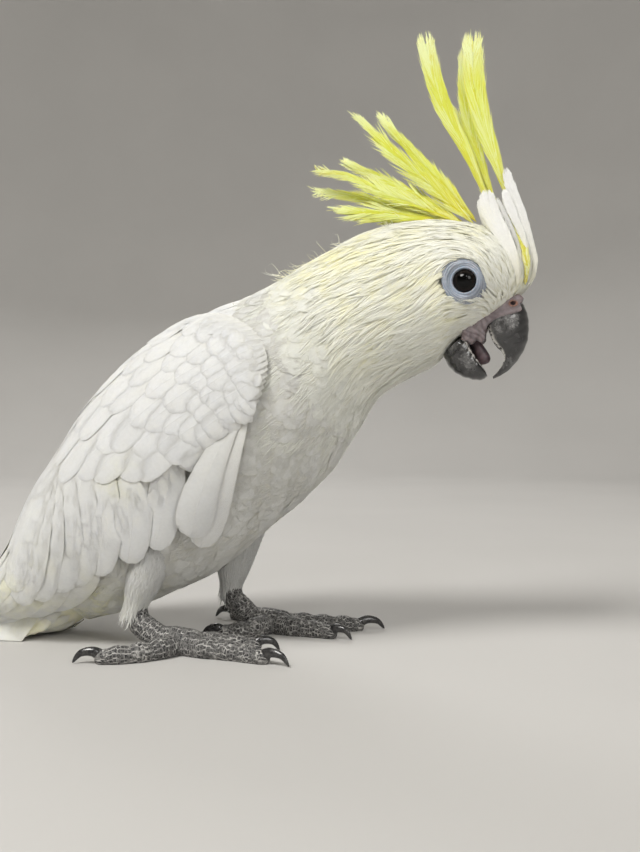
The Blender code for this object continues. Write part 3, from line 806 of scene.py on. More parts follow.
def makeFoot(side):
    lines = limbLines(side)
    foot = makeObject("foot", *joined([pipe(path, radii, 20) for path, radii in lines]))
    remesh(foot, feetForm["voxel"], feetForm["smoothing"])
    spots, facing = coordinates(foot), normals(foot)
    found = nearestLine(spots, lines)
    along, turn, limb = found.T
    # plates across the top of each toe, small round scales beneath and at the sides
    upper = ease(-0.2, 0.6, np.cos(np.radians(turn)))
    wander = 1.2 * np.sin(along * 0.9 + limb) + 0.9 * np.sin(turn * 0.06)
    plate = (along + 0.2 * wander) / feetForm["plate"]
    across = np.abs(np.sin(plate * math.pi))
    around = np.abs(np.sin((turn / feetForm["scale"] + np.floor(plate) * 0.5) * math.pi / 2))
    raised = np.minimum(across ** 0.5, 0.35 + 0.65 * np.maximum(around ** 0.5, upper * 0.7))
    spots = spots + facing * (feetForm["relief"] * raised - feetForm["sunk"])[:, None]
    spots[:, 2] = np.maximum(spots[:, 2], 0.0)
    moveTo(foot, spots)
    foot.data.attributes.new("limb", "FLOAT_VECTOR", "POINT").data.foreach_set("vector", found.ravel())
    foot.data.materials.append(footSkin)
    return foot


def surfaceGrid(surface, places, around, lift):
    # rings of points over a surface, lifted off it ring by ring
    turn = np.linspace(-180, 180, around, endpoint=False)
    return surface.at(places[:, None], turn[None, :], np.asarray(lift)[:, None])


def slab(top, low):
    # a closed piece between an upper and a lower sheet of points
    return tubeMesh(np.concatenate([top, low[:, ::-1]], axis=1))


def betweenLines(first, last, t, u):
    # a spot on a folded wing: t from the first line to the last, u from the back to the lower edge
    a = smoothPick(np.array(first, float), np.asarray(u) * (len(first) - 1))
    b = smoothPick(np.array(last, float), np.asarray(u) * (len(last) - 1))
    spot = a + (b - a) * np.asarray(t)[..., None]
    return spot[..., 0], spot[..., 1]


def covertTop(t, u):
    # how far the coverts stand off the body: rounded at the leading, upper and lower edges
    front = np.sqrt(1 - (1 - np.clip((t + 0.01) / 0.16, 0, 1)) ** 2)
    inwards = np.minimum(1.3 * u, 1 - u) + 0.015
    sides = np.sqrt(1 - (1 - np.clip(inwards / 0.17, 0, 1)) ** 2)
    return 0.6 + 5.2 * np.minimum(front, 0.25 + 0.75 * sides) * (0.35 + 0.65 * sides)


def armBulk(side):
    # the folded arm under the coverts
    t = np.linspace(0, 1, 22) ** 1.3 * 0.98 + 0.012
    t, u = np.meshgrid(t, np.linspace(0.02, 0.985, 26), indexing="ij")
    place, angle = betweenLines(wingLeading, wingCovertTips, t, u)
    top = wing.at(place, side * angle, covertTop(t, u) - 0.7 - 0.6 * ease(0.1, 0.3, u))
    return slab(top, wing.at(place, side * angle, -7.0))


def quillBulk(side):
    # the body of the wing under its long feathers
    place = np.linspace(3.1, 5.9, 20)[:, None]
    reach = np.interp(place, (3.1, 4.3, 5.3, 5.9), (84, 99, 104, 104))
    angle = 3 + (reach - 3) * np.linspace(0, 1, 24)[None]
    place = np.broadcast_to(place, angle.shape)
    edge = ease(0, 10, reach - angle) * ease(3.1, 3.5, place)
    top = wing.at(place, side * angle, -1.5 + 2.2 * edge + 0.6 * ease(60, 20, angle))
    return slab(top, wing.at(place, side * angle, -6.0))


def tailBulk():
    # the flat of the tail, and the round root that it grows from
    fan = np.linspace(0.4, 4.6, 20)
    share = np.linspace(-80, 80, 17)
    top = tail.at(fan[:, None], share[None, :], -2.2)
    low = top.copy()
    floor = np.maximum(0.8, smoothPick(tail.rings[:, 3], fan)[:, None] + 1.0)
    low[..., 2] = np.minimum(top[..., 2] - 0.3, floor)
    root = surfaceGrid(Loft(tailRings), np.linspace(0, 2.6, 14), 40, np.full(14, -2.6))
    root[..., 2] = np.maximum(root[..., 2], 0.9)
    return [slab(top, low), tubeMesh(root)]


def thighBulk(hip, ankle):
    hip, ankle = np.array(hip), np.array(ankle)
    t = np.linspace(0, 1, 12)
    thick, thin = skinForm["thigh"]
    path = hip + (ankle + (0, 0, 3.0) - hip) * t[:, None]
    return pipe(path, thick + (thin - thick) * t ** 0.8, 18)


def makeSkin():
    places = np.linspace(0, 13, 66)
    parts = [tubeMesh(surfaceGrid(body, places, 48, smoothPick(np.array(skinForm["inset"]), places)))]
    parts += tailBulk()
    for side in (-1, 1):
        parts += [armBulk(side), quillBulk(side)]
    parts += [thighBulk(hip, ankle) for hip, ankle, foot in legs.values()]
    made = makeObject("skin", *joined(parts))
    remesh(made, skinForm["voxel"], skinForm["smoothing"])
    made.data.materials.append(skinWhite)
    spots = coordinates(made)
    near, far = skinForm["socket"]
    for spot in eyeSpots:
        sign = np.sign(spot[1])
        away = np.hypot(spots[:, 0] - spot[0], spots[:, 2] - spot[2])
        limit = skinForm["socketFloor"] + skinForm["socketRise"] * ease(near, far, away)
        inside = (away < far) & (spots[:, 1] * sign > 0)
        spots[inside, 1] = sign * np.minimum(np.abs(spots[:, 1]), limit)[inside]
    moveTo(made, spots)
    feet = [makeFoot(side) for side in legs]
    deselect()
    for piece in [made] + feet:
        piece.select_set(True)
    bpy.context.view_layer.objects.active = made
    bpy.ops.object.join()
    for layer in ("tone", "along"):
        paint(made, layer, np.full(len(made.data.vertices), skinForm[layer]))
    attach(made, "root")
    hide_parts("trunk", "neck", "head",
                *(f"{part}_{side}" for side in legs for part in ("thigh", "foot")),
                *(f"{toe}_toe_{side}" for side in legs for toe in toes))
    print("skin", len(made.data.polygons), "faces")


def makeFootSkin():
    # grey-black scales with paler lines between, by how far along and round a toe each spot is
    material, wires, shader = newMaterial("footSkin", Roughness=0.6, Specular_IOR_Level=0.35)
    limb = wires.split(wires.attribute("limb", "Vector"))
    along = wires.times(limb[0], 0.95)
    around = wires.math("ADD", wires.times(limb[1], 0.036), wires.times(limb[2], 7.31))
    grid = wires.node("CombineXYZ", None, X=along, Y=around, Z=0.0).outputs[0]
    flat, edges = {"voronoi_dimensions": "2D"}, {"feature": "DISTANCE_TO_EDGE"}
    network = wires.cells(grid, 1.0, flat | edges, Randomness=0.75)
    cell = wires.cells(grid, 1.0, flat, "Color", Randomness=0.75)
    place = wires.place()
    broken = wires.ramp(wires.noise(place, 420.0), 0.36, 0.62, 0.25, 1.0)
    line = wires.times(wires.ramp(network, 0.05, 0.17, 1.0, 0.0), broken)
    fineLine = wires.times(wires.ramp(wires.cells(place, 900.0, edges), 0.0, 0.12, 1.0, 0.0), 0.35)
    dark = wires.mix(wires.split(cell)[0], (0.014, 0.014, 0.016, 1), (0.055, 0.054, 0.053, 1))
    lines = wires.math("MAXIMUM", line, fineLine, clamp=True)
    wires.feed(shader, "Base Color", wires.mix(lines, dark, (0.45, 0.44, 0.42, 1)))
    height = wires.math("SUBTRACT", wires.ramp(network, 0.0, 0.3), wires.times(fineLine, 0.3))
    wires.relief(shader, height, 0.6, 0.4)
    return material


footSkin = makeFootSkin()
makeSkin()


# The coat of the breast and belly

bodyCoat = {
    "groups": (  # name, first and last place, spacing, length, half width, finish
        ("coat_breast", 8.3, 5.4, 4.4, 16.0, 4.4, neckWhite),
        ("coat_flanks", 5.4, 3.2, 4.4, 16.0, 4.4, coatWhite),
        ("coat_belly", 3.2, 0.0, 5.4, 20.0, 5.6, coatWhite),
    ),
    "root": -0.75, "tip": 0.15,    # how far a feather's root and tip stand off the surface
    "neckSink": 0.55,              # how much lower it all lies where the neck's locks cover it
    "clump": 0.45,                 # how unevenly the feathers gather
    "barbs": 11,                   # soft strands that end each feather
    "barbHalf": 0.42,
}


def hiddenByWing(place, angle):
    # true where a folded wing covers the coat
    turn = np.abs(angle)
    u = np.interp(turn, [spot[1] for spot in wingLeading], range(len(wingLeading)))
    edge = smoothPick(np.array(wingLeading), u)[..., 0] - 4
    reach = np.interp(place, (-0.2, 0.5, 1.85, 2.4, 3.0, 3.95, 4.7), (84, 104, 114, 122, 108, 92, 70))
    return (place < edge - 0.42) & (turn < reach)


def bodyFlow(place, angle):
    # the coat runs down the breast and a little outwards from its middle line
    turn = np.abs(angle)
    return -10 * np.sin(np.radians(turn)) * ease(1.5, 4.5, place) * (1 - ease(6.0, 8.0, place))


def makeBodyCoat():
    rows, strandRows = contourRows, np.array(strand["rows"])
    root, tip = bodyCoat["root"], bodyCoat["tip"]
    for name, start, end, spacing, length, half, finish in bodyCoat["groups"]:
        coat = Coat()
        roots = sowRoots(body, start, end, spacing)
        roots = roots[~hiddenByWing(roots[:, 0], roots[:, 1])]
        place, angle = roots.T
        count = len(roots)
        small = ease(5.5, 8.5, place)
        size = length * rng.uniform(0.85, 1.12, count) * (1 - 0.35 * small)
        wide = half * rng.uniform(0.88, 1.1, count) * (1 - 0.4 * small)
        tone = rng.uniform(0, 1, count)
        swerve = rng.normal(0, 5, count)
        heading = lambda p, a: bodyFlow(p, a) + swerve
        places, angles = walk(body, place, angle, size, heading, rows)
        wave = np.sin(places * 7.0 + np.abs(angles) * 0.05) * np.sin(np.abs(angles) * 0.16 + places * 1.3)
        lift = root + (tip - root) * rows ** 0.8 + rng.uniform(-0.08, 0.05, (count, 1))
        lift = lift + bodyCoat["clump"] * wave - bodyCoat["neckSink"] * ease(4.8, 6.2, places)
        lift[:, -1] -= 0.1
        coat.add(lay(body, places, angles, wide, contour, lift, fiveAcross, (0,), 0.02, 0.12,
                     rng.normal(0, 0.04, count)), place, angle, tone, size)
        for k in range(bodyCoat["barbs"]):
            c = (k + 0.5) / bodyCoat["barbs"] * 2 - 1 + rng.uniform(-0.12, 0.12, count)
            begin = 0.62 - 0.2 * c * c
            fromPlace, fromAngle, base = (readRows(values, rows, begin) for values in (places, angles, lift))
            p, a = walk(body, fromPlace, fromAngle, size * (0.42 - 0.16 * c * c), heading, strandRows)
            splay = strandRows[None] * 0.25 + 0.75
            p, a = sideways(body, p, a, (c * wide * 0.9)[:, None] * splay)
            rise = base[:, None] + 0.02 + 0.16 * strandRows[None] * rng.uniform(-0.4, 1.0, (count, 1))
            thin = np.full(count, bodyCoat["barbHalf"])
            strips = lay(body, p, a, thin, strand, rise, threeAcross, (), 0.4, 0.0)
            coat.add(strips, place, angle, tone, size * 0.5)
        coat.build(name, finish, "white_feather")


makeBodyCoat()


# Wings

coverts = {
    "rows": (  # root and tip (share of the way to the covert tips), count, half width
        (0.035, 0.12, 12, 4.6), (0.04, 0.20, 10, 6.2), (0.08, 0.30, 9, 6.8), (0.17, 0.41, 9, 7.2),
        (0.27, 0.53, 8, 7.6), (0.38, 0.67, 8, 8.0), (0.50, 0.84, 8, 8.4), (0.62, 1.03, 8, 8.6),
    ),
    "across": 75,              # about how wide the folded wing is
    "sink": 1.35, "less": 0.7,  # how deep the roots lie, and how much less towards the tips
    "curl": 0.35, "lastCurl": 0.8,
    "edge": 26, "edgeHalf": 2.9, "edgeReach": 0.14,  # the small feathers that turn over the leading edge
}
secondaries = {
    "vanes": (  # root, middle and tip as (place, angle), half width, from the back to the lower edge
        ((6.1, 8), (4.6, 9), (3.3, 12), 8.2),
        ((6.0, 17), (4.6, 24), (3.35, 32), 8.2),
        ((5.8, 25), (4.5, 38), (3.2, 49), 8.2),
        ((5.5, 32), (4.4, 50), (3.42, 63), 8.4),
        ((5.3, 38), (4.15, 63), (3.0, 84), 8.4),
        ((5.2, 42), (4.2, 74), (2.95, 101), 8.4),
        ((5.2, 43), (4.5, 78), (3.35, 110), 8.4),
        ((5.45, 46), (4.85, 82), (3.82, 116), 8.4),
        ((5.85, 51), (5.25, 83), (4.25, 118), 8.2),
        ((6.2, 61), (5.65, 88), (4.7, 119), 8.2),
        ((6.6, 75), (6.12, 94.5), (5.34, 121.5), 8.4),
        ((6.95, 87), (6.52, 103), (5.86, 122.5), 7.6),
    ),
    "sunk": 0.9, "tip": 1.7,   # below the coverts at the root, above the body at the tip
}
primaries = {
    "count": 9, "half": (8.0, 9.0),
    "roots": ((3.75, 4), (3.7, 42), (3.9, 68), (4.2, 95), (4.9, 113)),
    "tips": ((0.5, 5), (0.05, 40), (0.4, 78), (1.7, 112), (3.1, 126)),
    "tuck": 4.0,               # how far their tips close in on the tail
}
alula = {
    "vanes": (  # root, middle and tip as (place, angle), half width, lift at the root, middle and tip
        ((8.02, 96.5), (7.13, 116.5), (6.40, 135.5), 6.9, (2.2, 5.0, 4.2)),
        ((7.98, 93.5), (6.96, 111.5), (6.42, 126.4), 7.6, (2.8, 5.9, 5.3)),
    ),
    "shape": {"rows": longVane["rows"], "wide": (0, 0.32, 0.46, 0.62, 0.78, 0.92, 1, 1, 0.88, 0.58, 0)},
}
quill = {"dome": 0.03, "thick": 0.22, "tilt": 0.28}  # tilt tucks each feather's inner edge under the next
wingRingCount = 9


def vaneLength(places, angles):
    return np.linalg.norm(np.diff(wing.at(places, angles), axis=1), axis=-1).sum(1)


def addQuills(coat, places, angles, half, lift, tone, tilt, shape=longVane, dome=quill["dome"], fall=None):
    # long stiff vanes
    strips = lay(wing, places, angles, half, shape, lift, sevenAcross, threeUnder, dome, quill["thick"],
                 tilt, fall)
    coat.add(strips, places[:, 0], angles[:, 0], tone, vaneLength(places, angles), False)


def overEdge(t, u, side):
    # lowers a covert's own edge where the wing rounds off
    t = np.clip(t, 0, 1)
    return lambda reach: (covertTop(t[..., None], u[..., None] - side * reach / coverts["across"])
                          - covertTop(t, u)[..., None])


def backTop(place, angle):
    # how far the folded wing stands off the body, anywhere on it
    turn = np.maximum(np.abs(angle), 4)
    u = np.interp(turn, [spot[1] for spot in wingLeading], np.linspace(0, 1, 6))
    first = smoothPick(np.array(wingLeading, float), u * 5)[..., 0]
    last = smoothPick(np.array(wingCovertTips, float), u * 5)[..., 0]
    t = np.clip((first - place) / (first - last), 0, 1)
    return covertTop(t, u) * ease(8.95, 8.1, place)


def overBack(place, angle):
    # lowers a vane's own edges where the wing rounds off towards the middle of the back
    sign = np.where(angle < 0, -1, 1)[..., None]
    degrees = 1.4  # for each mm across the wing
    return lambda reach: (backTop(place[..., None], np.abs(angle[..., None]) - sign * reach * degrees)
                          - backTop(place, angle)[..., None])


def makeCoverts(side, name):
    coat = Coat(wingRingCount)
    for number, (start, end, count, half) in enumerate(coverts["rows"]):
        long = end - start > 0.3
        shape, rows = (longVane, longRows) if long else (contour, contourRows)
        stagger = 0.5 * (number % 2)
        u = (np.arange(count) + 0.5 + stagger + rng.uniform(-0.2, 0.2, count)) / (count + 0.5)
        u = 0.015 + u ** 0.9 * (0.985 - half / 95)
        size = rng.uniform(0.88, 1.1, count)
        u = np.clip(u + rng.normal(0, 0.012, count), 0.01, 0.96)
        t = start + (end - start) * rows[None] * size[:, None]
        drift = rng.normal(0, 0.012, count)[:, None] * rows[None]
        place, angle = betweenLines(wingLeading, wingCovertTips, t, u[:, None] + drift)
        top = covertTop(np.clip(t, 0, 1), u[:, None])
        sink = (coverts["sink"] - coverts["less"] * start) * (1 - rows[None]) ** 0.9 * ease(-0.05, 0.3, t)
        curl = coverts["curl"] if number < len(coverts["rows"]) - 1 else coverts["lastCurl"]
        lift = top - sink - curl * rows[None] ** 4 + rng.uniform(-0.2, 0.12, (count, 1))
        wide = half * rng.uniform(0.9, 1.08, count) * (0.8 + 0.3 * u)
        tone = rng.uniform(0, 1, count)
        fall = overEdge(t, u[:, None], side)
        tilt = -side * quill["tilt"]
        if long:
            addQuills(coat, place, side * angle, wide, lift, tone, tilt, dome=0.05, fall=fall)
        else:
            strips = lay(wing, place, side * angle, wide, shape, lift, sevenAcross, (0,), 0.09, 0.18,
                         tilt * 0.5, fall)
            coat.add(strips, place[:, 0], side * angle[:, 0], tone, vaneLength(place, angle), False)
    addLeadingEdge(coat, side)
    coat.build(f"wing_{name}_covert_feathers", wingWhite, "white_feather", f"wing_{name}_coverts")


def addLeadingEdge(coat, side):
    # small feathers that turn over the leading edge, in two staggered rows
    count = coverts["edge"]
    shape = {"rows": contourRows, "wide": (0, 0.85, 1, 1, 0.9, 0.6, 0)}
    for back in (0.0, 0.05):
        u = np.linspace(0.015, 0.965, count) + back * 0.4
        t = back - 0.014 + coverts["edgeReach"] * contourRows[None] + np.zeros((count, 1))
        u = np.broadcast_to(u[:, None], t.shape)
        place, angle = betweenLines(wingLeading, wingCovertTips, t, np.clip(u, 0, 1))
        lift = covertTop(np.maximum(t, 0), u) - 0.3 * (1 - contourRows[None]) - 0.05 - back * 6
        half = np.full(count, coverts["edgeHalf"])
        strips = lay(wing, place, side * angle, half, shape, lift, fiveAcross, (0,), 0.02, 0.12, 0.0,
                     overEdge(t, u, side))
        tone = rng.uniform(0, 1, count)
        coat.add(strips, place[:, 0], side * angle[:, 0], tone, np.full(count, 10.0), False)


def makeSecondaries(side, name):
    quills = Coat(wingRingCount)
    rows, vanes = longRows, secondaries["vanes"]
    bends = np.array([vane[:3] for vane in vanes], float)
    u = np.linspace(0.03, 1.0, len(vanes))
    size = rng.uniform(0.97, 1.02, len(vanes))
    spots = np.stack([smoothPick(bend, rows * 2 * long) for bend, long in zip(bends, size)])
    place, angle = spots[..., 0], spots[..., 1]
    low = ease(0.35, 1.0, rows)[None]
    high = backTop(place, angle) - secondaries["sunk"]
    lift = high + (secondaries["tip"] - high) * low + (1 - u)[:, None] * (0.3 + 0.6 * low)
    bend = overBack(place, side * angle)
    half = np.array([vane[3] for vane in vanes])
    addQuills(quills, place, side * angle, half, lift, rng.uniform(0, 1, len(u)), -side * quill["tilt"] * 1.2,
              dome=0.035, fall=lambda reach: bend(reach) * (1 - low[..., None]))
    quills.build(f"wing_{name}_secondary_feathers", wingWhite, "white_feather", f"wing_{name}_secondaries")


def makePrimaries(side, name):
    quills = Coat(wingRingCount)
    rows, count = longRows[None], primaries["count"]
    u = np.linspace(0.02, 1.0, count)[:, None]
    t = rows * rng.uniform(0.97, 1.03, (count, 1))
    place, angle = betweenLines(primaries["roots"], primaries["tips"], t, np.broadcast_to(u, t.shape))
    lift = 1.2 + 0.4 * rows + (1 - u) * 0.8 - primaries["tuck"] * rows ** 3
    addQuills(quills, place, side * angle, np.linspace(*primaries["half"], count), lift,
              rng.uniform(0, 1, count), -side * quill["tilt"] * 1.6, dome=0.045)
    quills.build(f"wing_{name}_primary_feathers", wingWhite, "white_feather", f"wing_{name}_primaries")


def makeAlula(side, name):
    # the loose feathers at the bend of the wing
    quills = Coat(wingRingCount)
    for *spots, half, heights in alula["vanes"]:
        bend = np.array([smoothPick(np.array(spots, float), longRows * 2)])
        place, angle = bend[..., 0], bend[..., 1]
        lift = smoothPick(np.array(heights), longRows * 2)[None]
        addQuills(quills, place, side * angle, np.array([half]), lift, rng.uniform(0, 1, 1),
                  -side * quill["tilt"], alula["shape"], 0.06)
    quills.build(f"wing_{name}_alula_feathers", wingWhite, "white_feather", f"wing_{name}_alula")


for side, name in ((-1, "right"), (1, "left")):
    makeCoverts(side, name)
    makeSecondaries(side, name)
    makePrimaries(side, name)
    makeAlula(side, name)


# The mantle: the feathers of the back that close over both wings' upper edges

mantle = {
    "start": 8.8, "end": 4.2, "across": 48.0, "spacing": 6.2,
    "length": (18, 22), "half": (5.8, 6.8), "thick": 1.7, "dome": 0.13,
    "tip": 3.0,      # height of the lowest ones, over the long feathers
    "sides": 1.1,    # how much deeper those at the sides lie
}


def makeMantle():
    coat = Coat(wingRingCount)
    across = (-mantle["across"], mantle["across"])
    roots = sowRoots(wing, mantle["start"], mantle["end"], mantle["spacing"], across)
    roots = roots[np.abs(roots[:, 1]) < 17 + 26 * ease(5.2, 7.6, roots[:, 0])]
    place, angle = roots.T
    count = len(roots)
    length = rng.uniform(*mantle["length"], count)
    places, angles = walk(wing, place, angle, length, rng.normal(0, 4, count), contourRows)
    low = ease(4.95, 3.3, places)
    top = backTop(places, angles)
    lift = top + (mantle["tip"] - top) * low - 0.25 - 0.75 * (1 - contourRows[None])
    lift = lift + rng.uniform(-0.08, 0.1, (count, 1)) - mantle["sides"] * ease(14, 31, np.abs(angles))
    half = rng.uniform(*mantle["half"], count)
    bend = overBack(places, angles)
    strips = lay(wing, places, angles, half, contour, lift, fiveAcross, (0.94, 0, -0.94), mantle["dome"],
                 mantle["thick"], 0.0, lambda reach: bend(reach) * (1 - low[..., None]))
    coat.add(strips, place, angle, rng.uniform(0, 1, count), length, False)
    coat.build("coat_mantle", wingWhite, "white_feather")


makeMantle()
print("wings done")


# The tail

tailForm = {
    "count": 12, "half": 6.4, "length": 110.0,
    "root": 1.1, "reach": 4.97, "rounding": 0.5,  # places of the roots and of the longest tips
    "shape": {"rows": longVane["rows"], "wide": (0, 0.34, 0.55, 0.72, 0.86, 0.96, 1, 1, 0.86, 0.5, 0)},
    "shaft": {"rows": longVane["rows"], "wide": (0,) + (1,) * 8 + (0.5, 0)}, "shaftHalf": 0.5,
    "coverts": (  # start, count, length, half width, how far to each side
        (0.1, 11, 34, 6.5, 80), (0.9, 12, 38, 7.0, 84), (1.7, 12, 40, 7.5, 84),
    ),
    "under": {"start": 3.2, "end": 0.05, "spacing": 7.5, "length": 26.0, "half": (4.5, 6), "from": 55},
}


class UnderTail(Loft):
    # the round root of the tail, kept off the floor
    def at(self, place, angle, lift=0.0):
        spots = super().at(place, angle, lift)
        spots[..., 2] = np.maximum(spots[..., 2], 0.25)
        return spots


def flowTail(surface, place, angle, length):
    # lines of small feathers on the tail, where places rise towards the tips
    forward, _ = surface.slopes(place, angle)
    step = length / np.linalg.norm(forward, axis=-1)
    places = np.clip(place[:, None] + step[:, None] * contourRows[None], 0, 4.98)
    return places, angle[:, None] + 0 * contourRows[None]


def addTailCoverts(coat, surface, place, angle, length, half, depth, rise, scatter, dome):
    # small feathers over or under the root of the tail
    count = len(place)
    places, angles = flowTail(surface, place, angle, length)
    up = depth + rise * contourRows[None] + rng.uniform(-scatter, 0.3, (count, 1))
    wide = half if np.isscalar(half) else rng.uniform(*half, count)
    coat.add(lay(surface, places, angles, np.full(count, wide), contour, up, fiveAcross, (0,), dome, 0.3),
             place, angle, rng.uniform(0, 1, count), np.full(count, length), False)


def makeTail():
    coat = Coat(5)
    rows, count = longRows[None], tailForm["count"]
    order = np.arange(count) - (count - 1) / 2
    share = order / (count / 2 - 0.5)
    reach = tailForm["reach"] - tailForm["rounding"] * np.abs(share) ** 1.6 - rng.uniform(0, 0.05, count)
    places = tailForm["root"] + (reach[:, None] - tailForm["root"]) * rows
    angles = share[:, None] * (30 + 48 * rows ** 0.8)
    lift = -0.9 - 0.4 * np.abs(order)[:, None] + 1.3 * rows
    vanes = lay(tail, places, angles, np.full(count, tailForm["half"]), tailForm["shape"], lift, sevenAcross,
                threeUnder, 0.05, 0.35, np.sign(order) * 0.35)
    shafts = lay(tail, places, angles, np.full(count, tailForm["shaftHalf"]), tailForm["shaft"], lift + 0.2,
                 threeAcross, (), 0.8, 0.0)
    length = np.full(count, tailForm["length"])
    for strips in (vanes, shafts):
        coat.add(strips, places[:, 0], angles[:, 0], rng.uniform(0, 1, count), length, False)
    for start, number, length, half, wide in tailForm["coverts"]:
        place = start + rng.uniform(-0.1, 0.1, number)
        angle = np.linspace(-wide, wide, number)
        addTailCoverts(coat, tail, place, angle, length, half, -1.4, 1.3, 0.2, 0.08)
    under = tailForm["under"]
    surface = UnderTail(tailRings)
    roots = sowRoots(surface, under["start"], under["end"], under["spacing"])
    place, angle = roots[np.abs(roots[:, 1]) > under["from"]].T
    addTailCoverts(coat, surface, place, angle, under["length"], under["half"], -2.2, 1.9, 0.3, 0.1)
    coat.build("tail_feathers", wingWhite, "white_feather", "tail")


makeTail()


# The feathered thighs

thighs = {
    "below": -0.325,                 # how far past the ankle they reach, as a share of the thigh
    "start": 7.9, "end": 2.15, "spacing": 2.9,
    "length": (11, 15), "half": (2.0, 2.7),
    "strands": 9, "strandHalf": (0.2, 0.34),
    "low": (4.2, 2.0),               # from where down the lowest feathers draw in
}


class Limb(Loft):
    # a round limb; place counts path points from the foot upwards, angle is in degrees from the front
    def __init__(self, path, radii, front):
        self.rings = np.array(path, float)
        self.radii = np.array(radii, float)
        self.front = np.array(front, float)

    def at(self, place, angle, lift=0.0):
        place, angle, lift = np.broadcast_arrays(np.asarray(place, float), angle, lift)
        centre = smoothPick(self.rings, place)
        size = smoothPick(self.radii, place) + lift[..., None]
        ahead = unit(self.rings[-1] - self.rings[0])
        a = unit(self.front - ahead * (self.front @ ahead))
        b = np.cross(a, ahead)
        c, s = np.cos(np.radians(angle)), np.sin(np.radians(angle))
        return centre + (size[..., 0] * c)[..., None] * a + (size[..., 1] * s)[..., None] * b


def makeThighs():
    coat = Coat(7)
    rows, fine = contourRows[None], wavyRows[None]
    for hip, ankle, foot in legs.values():
        hip, ankle = np.array(hip), np.array(ankle)
        t = np.linspace(thighs["below"], 1, 9)
        path = ankle + (0, 0, 2.0) + (hip - ankle) * t[:, None]
        grow = np.clip(t, 0, 1) ** 0.8
        leg = Limb(path, np.stack([5.4 + 10.5 * grow, 5.0 + 7.5 * grow], 1), (-0.3, 0, -1))
        place, angle = sowRoots(leg, thighs["start"], thighs["end"], thighs["spacing"]).T
        count = len(place)
        low = ease(*thighs["low"], place)
        length = rng.uniform(*thighs["length"], count) - 3.0 * low
        tone = rng.uniform(0, 1, count)
        swerve = rng.normal(0, 5, count)
        places, angles = walk(leg, place, angle, length, swerve, contourRows)
        lift = -0.9 + 0.95 * rows + rng.uniform(-0.15, 0.1, (count, 1)) - 0.9 * low[:, None] * rows ** 2
        half = rng.uniform(*thighs["half"], count) * (1 - 0.3 * low)
        strips = lay(leg, places, angles, half, contour, lift, threeAcross, (0,), 0.08, 0.14)
        coat.add(strips, place, angle, tone, length, False)
        for k in range(thighs["strands"]):
            offset = rng.uniform(-2.2, 2.2, count)[:, None] * (1 - 0.6 * fine)
            size = length * rng.uniform(0.45, 1.0, count) * np.where(rng.random(count) < 0.2, 1.3, 1.0)
            begin = np.clip(place - rng.uniform(0.0, 0.9, count), 1.6, 8)
            places, angles = walk(leg, begin, angle, size, swerve + rng.normal(0, 8, count), wavyRows)
            curl = 0.3 * np.sin(fine * 5 + rng.uniform(0, 6, (count, 1)))
            places, angles = sideways(leg, places, angles, offset + curl)
            up = -0.5 + 0.8 * fine + rng.uniform(-0.35, 0.35, (count, 1))
            up = up + rng.uniform(-1.6, 0.8, (count, 1)) * low[:, None] * fine ** 2
            half = rng.uniform(*thighs["strandHalf"], count)
            strips = lay(leg, places, angles, half, wavyStrand, up, threeAcross, (), 0.5, 0.0)
            coat.add(strips, place, angle, tone, length, False)
    coat.build("coat_trousers", wingWhite, "white_feather")


makeThighs()


# The coat of the head and neck

headCoat = {
    "groups": (  # name, first and last place, spacing (at the start and end), strands, strands' form, finish
        ("coat_face", 12.9, 10.0, (1.5, 1.8), 6, "head", headWhite),
        ("coat_cheeks", 10.0, 8.3, (1.85, 1.85), 6, "head", headWhite),
        ("coat_nape", 8.3, 6.2, (2.4, 2.4), 7, "head", headWhite),
        ("coat_neck", 6.2, 4.3, (3.1, 3.1), 7, "neck", neckWhite),
    ),
    # half width, lift at the root and tip, spread of a lock, how much its tip gathers
    "head": {"half": 0.34, "lift": (-1.25, 0.3), "spread": 1.3, "gather": 0.22},
    "neck": {"half": 0.42, "lift": (-1.1, 0.0), "spread": 1.9, "gather": 0.4},
    "wave": 0.5,
    "places": (4.3, 6.6, 8, 9.5, 10.8, 12, 12.9),
    "lengths": (17.0, 16.5, 15.5, 13.0, 8.8, 5.2, 3.6),
    "ear": (9.15, 84),  # where the lie of the coat swirls, as place and angle
}


def placeOnBody(x, z):
    # the place and angle on the body whose side view lies at x, z
    places = np.linspace(0, 13, 261)
    turns = np.linspace(1, 179, 179)
    spots = body.at(places[:, None], turns[None, :])
    far = (spots[..., 0] - x) ** 2 + (spots[..., 2] - z) ** 2
    i, k = np.unravel_index(np.argmin(far), far.shape)
    return places[i], turns[k]


eyePlace, eyeAngle = placeOnBody(eye["x"], eye["z"])


def headFlow(place, angle):
    # locks rise over the ear and fall behind it, and lift a little over the brow
    turn = np.abs(angle)
    earPlace, earAngle = headCoat["ear"]
    swirl = 46 * bell(turn, earAngle, 34) * bell(place, earPlace, 1.5) * np.tanh((earPlace - place) / 0.55)
    brow = -22 * bell(turn, 52, 20) * bell(place, 10.8, 0.9)
    under = 26 * bell(turn, 112, 16) * bell(place, 10.9, 1.1)
    cheek = 15 * bell(turn, 105, 20) * bell(place, 8.6, 0.9)
    return swirl + brow + under + cheek


def headRelief(place, angle):
    # fullness of the cheek and ear, and the crease that runs back from the corner of the mouth
    turn = np.abs(angle)
    cheek = 1.5 * bell(turn, 84, 24) * bell(place, 9.0, 0.9)
    line = 122 - 9 * (12 - place)
    crease = -1.3 * bell(turn, line, 7) * ease(8.3, 9.6, place) * (1 - ease(12.2, 12.9, place))
    return cheek + crease


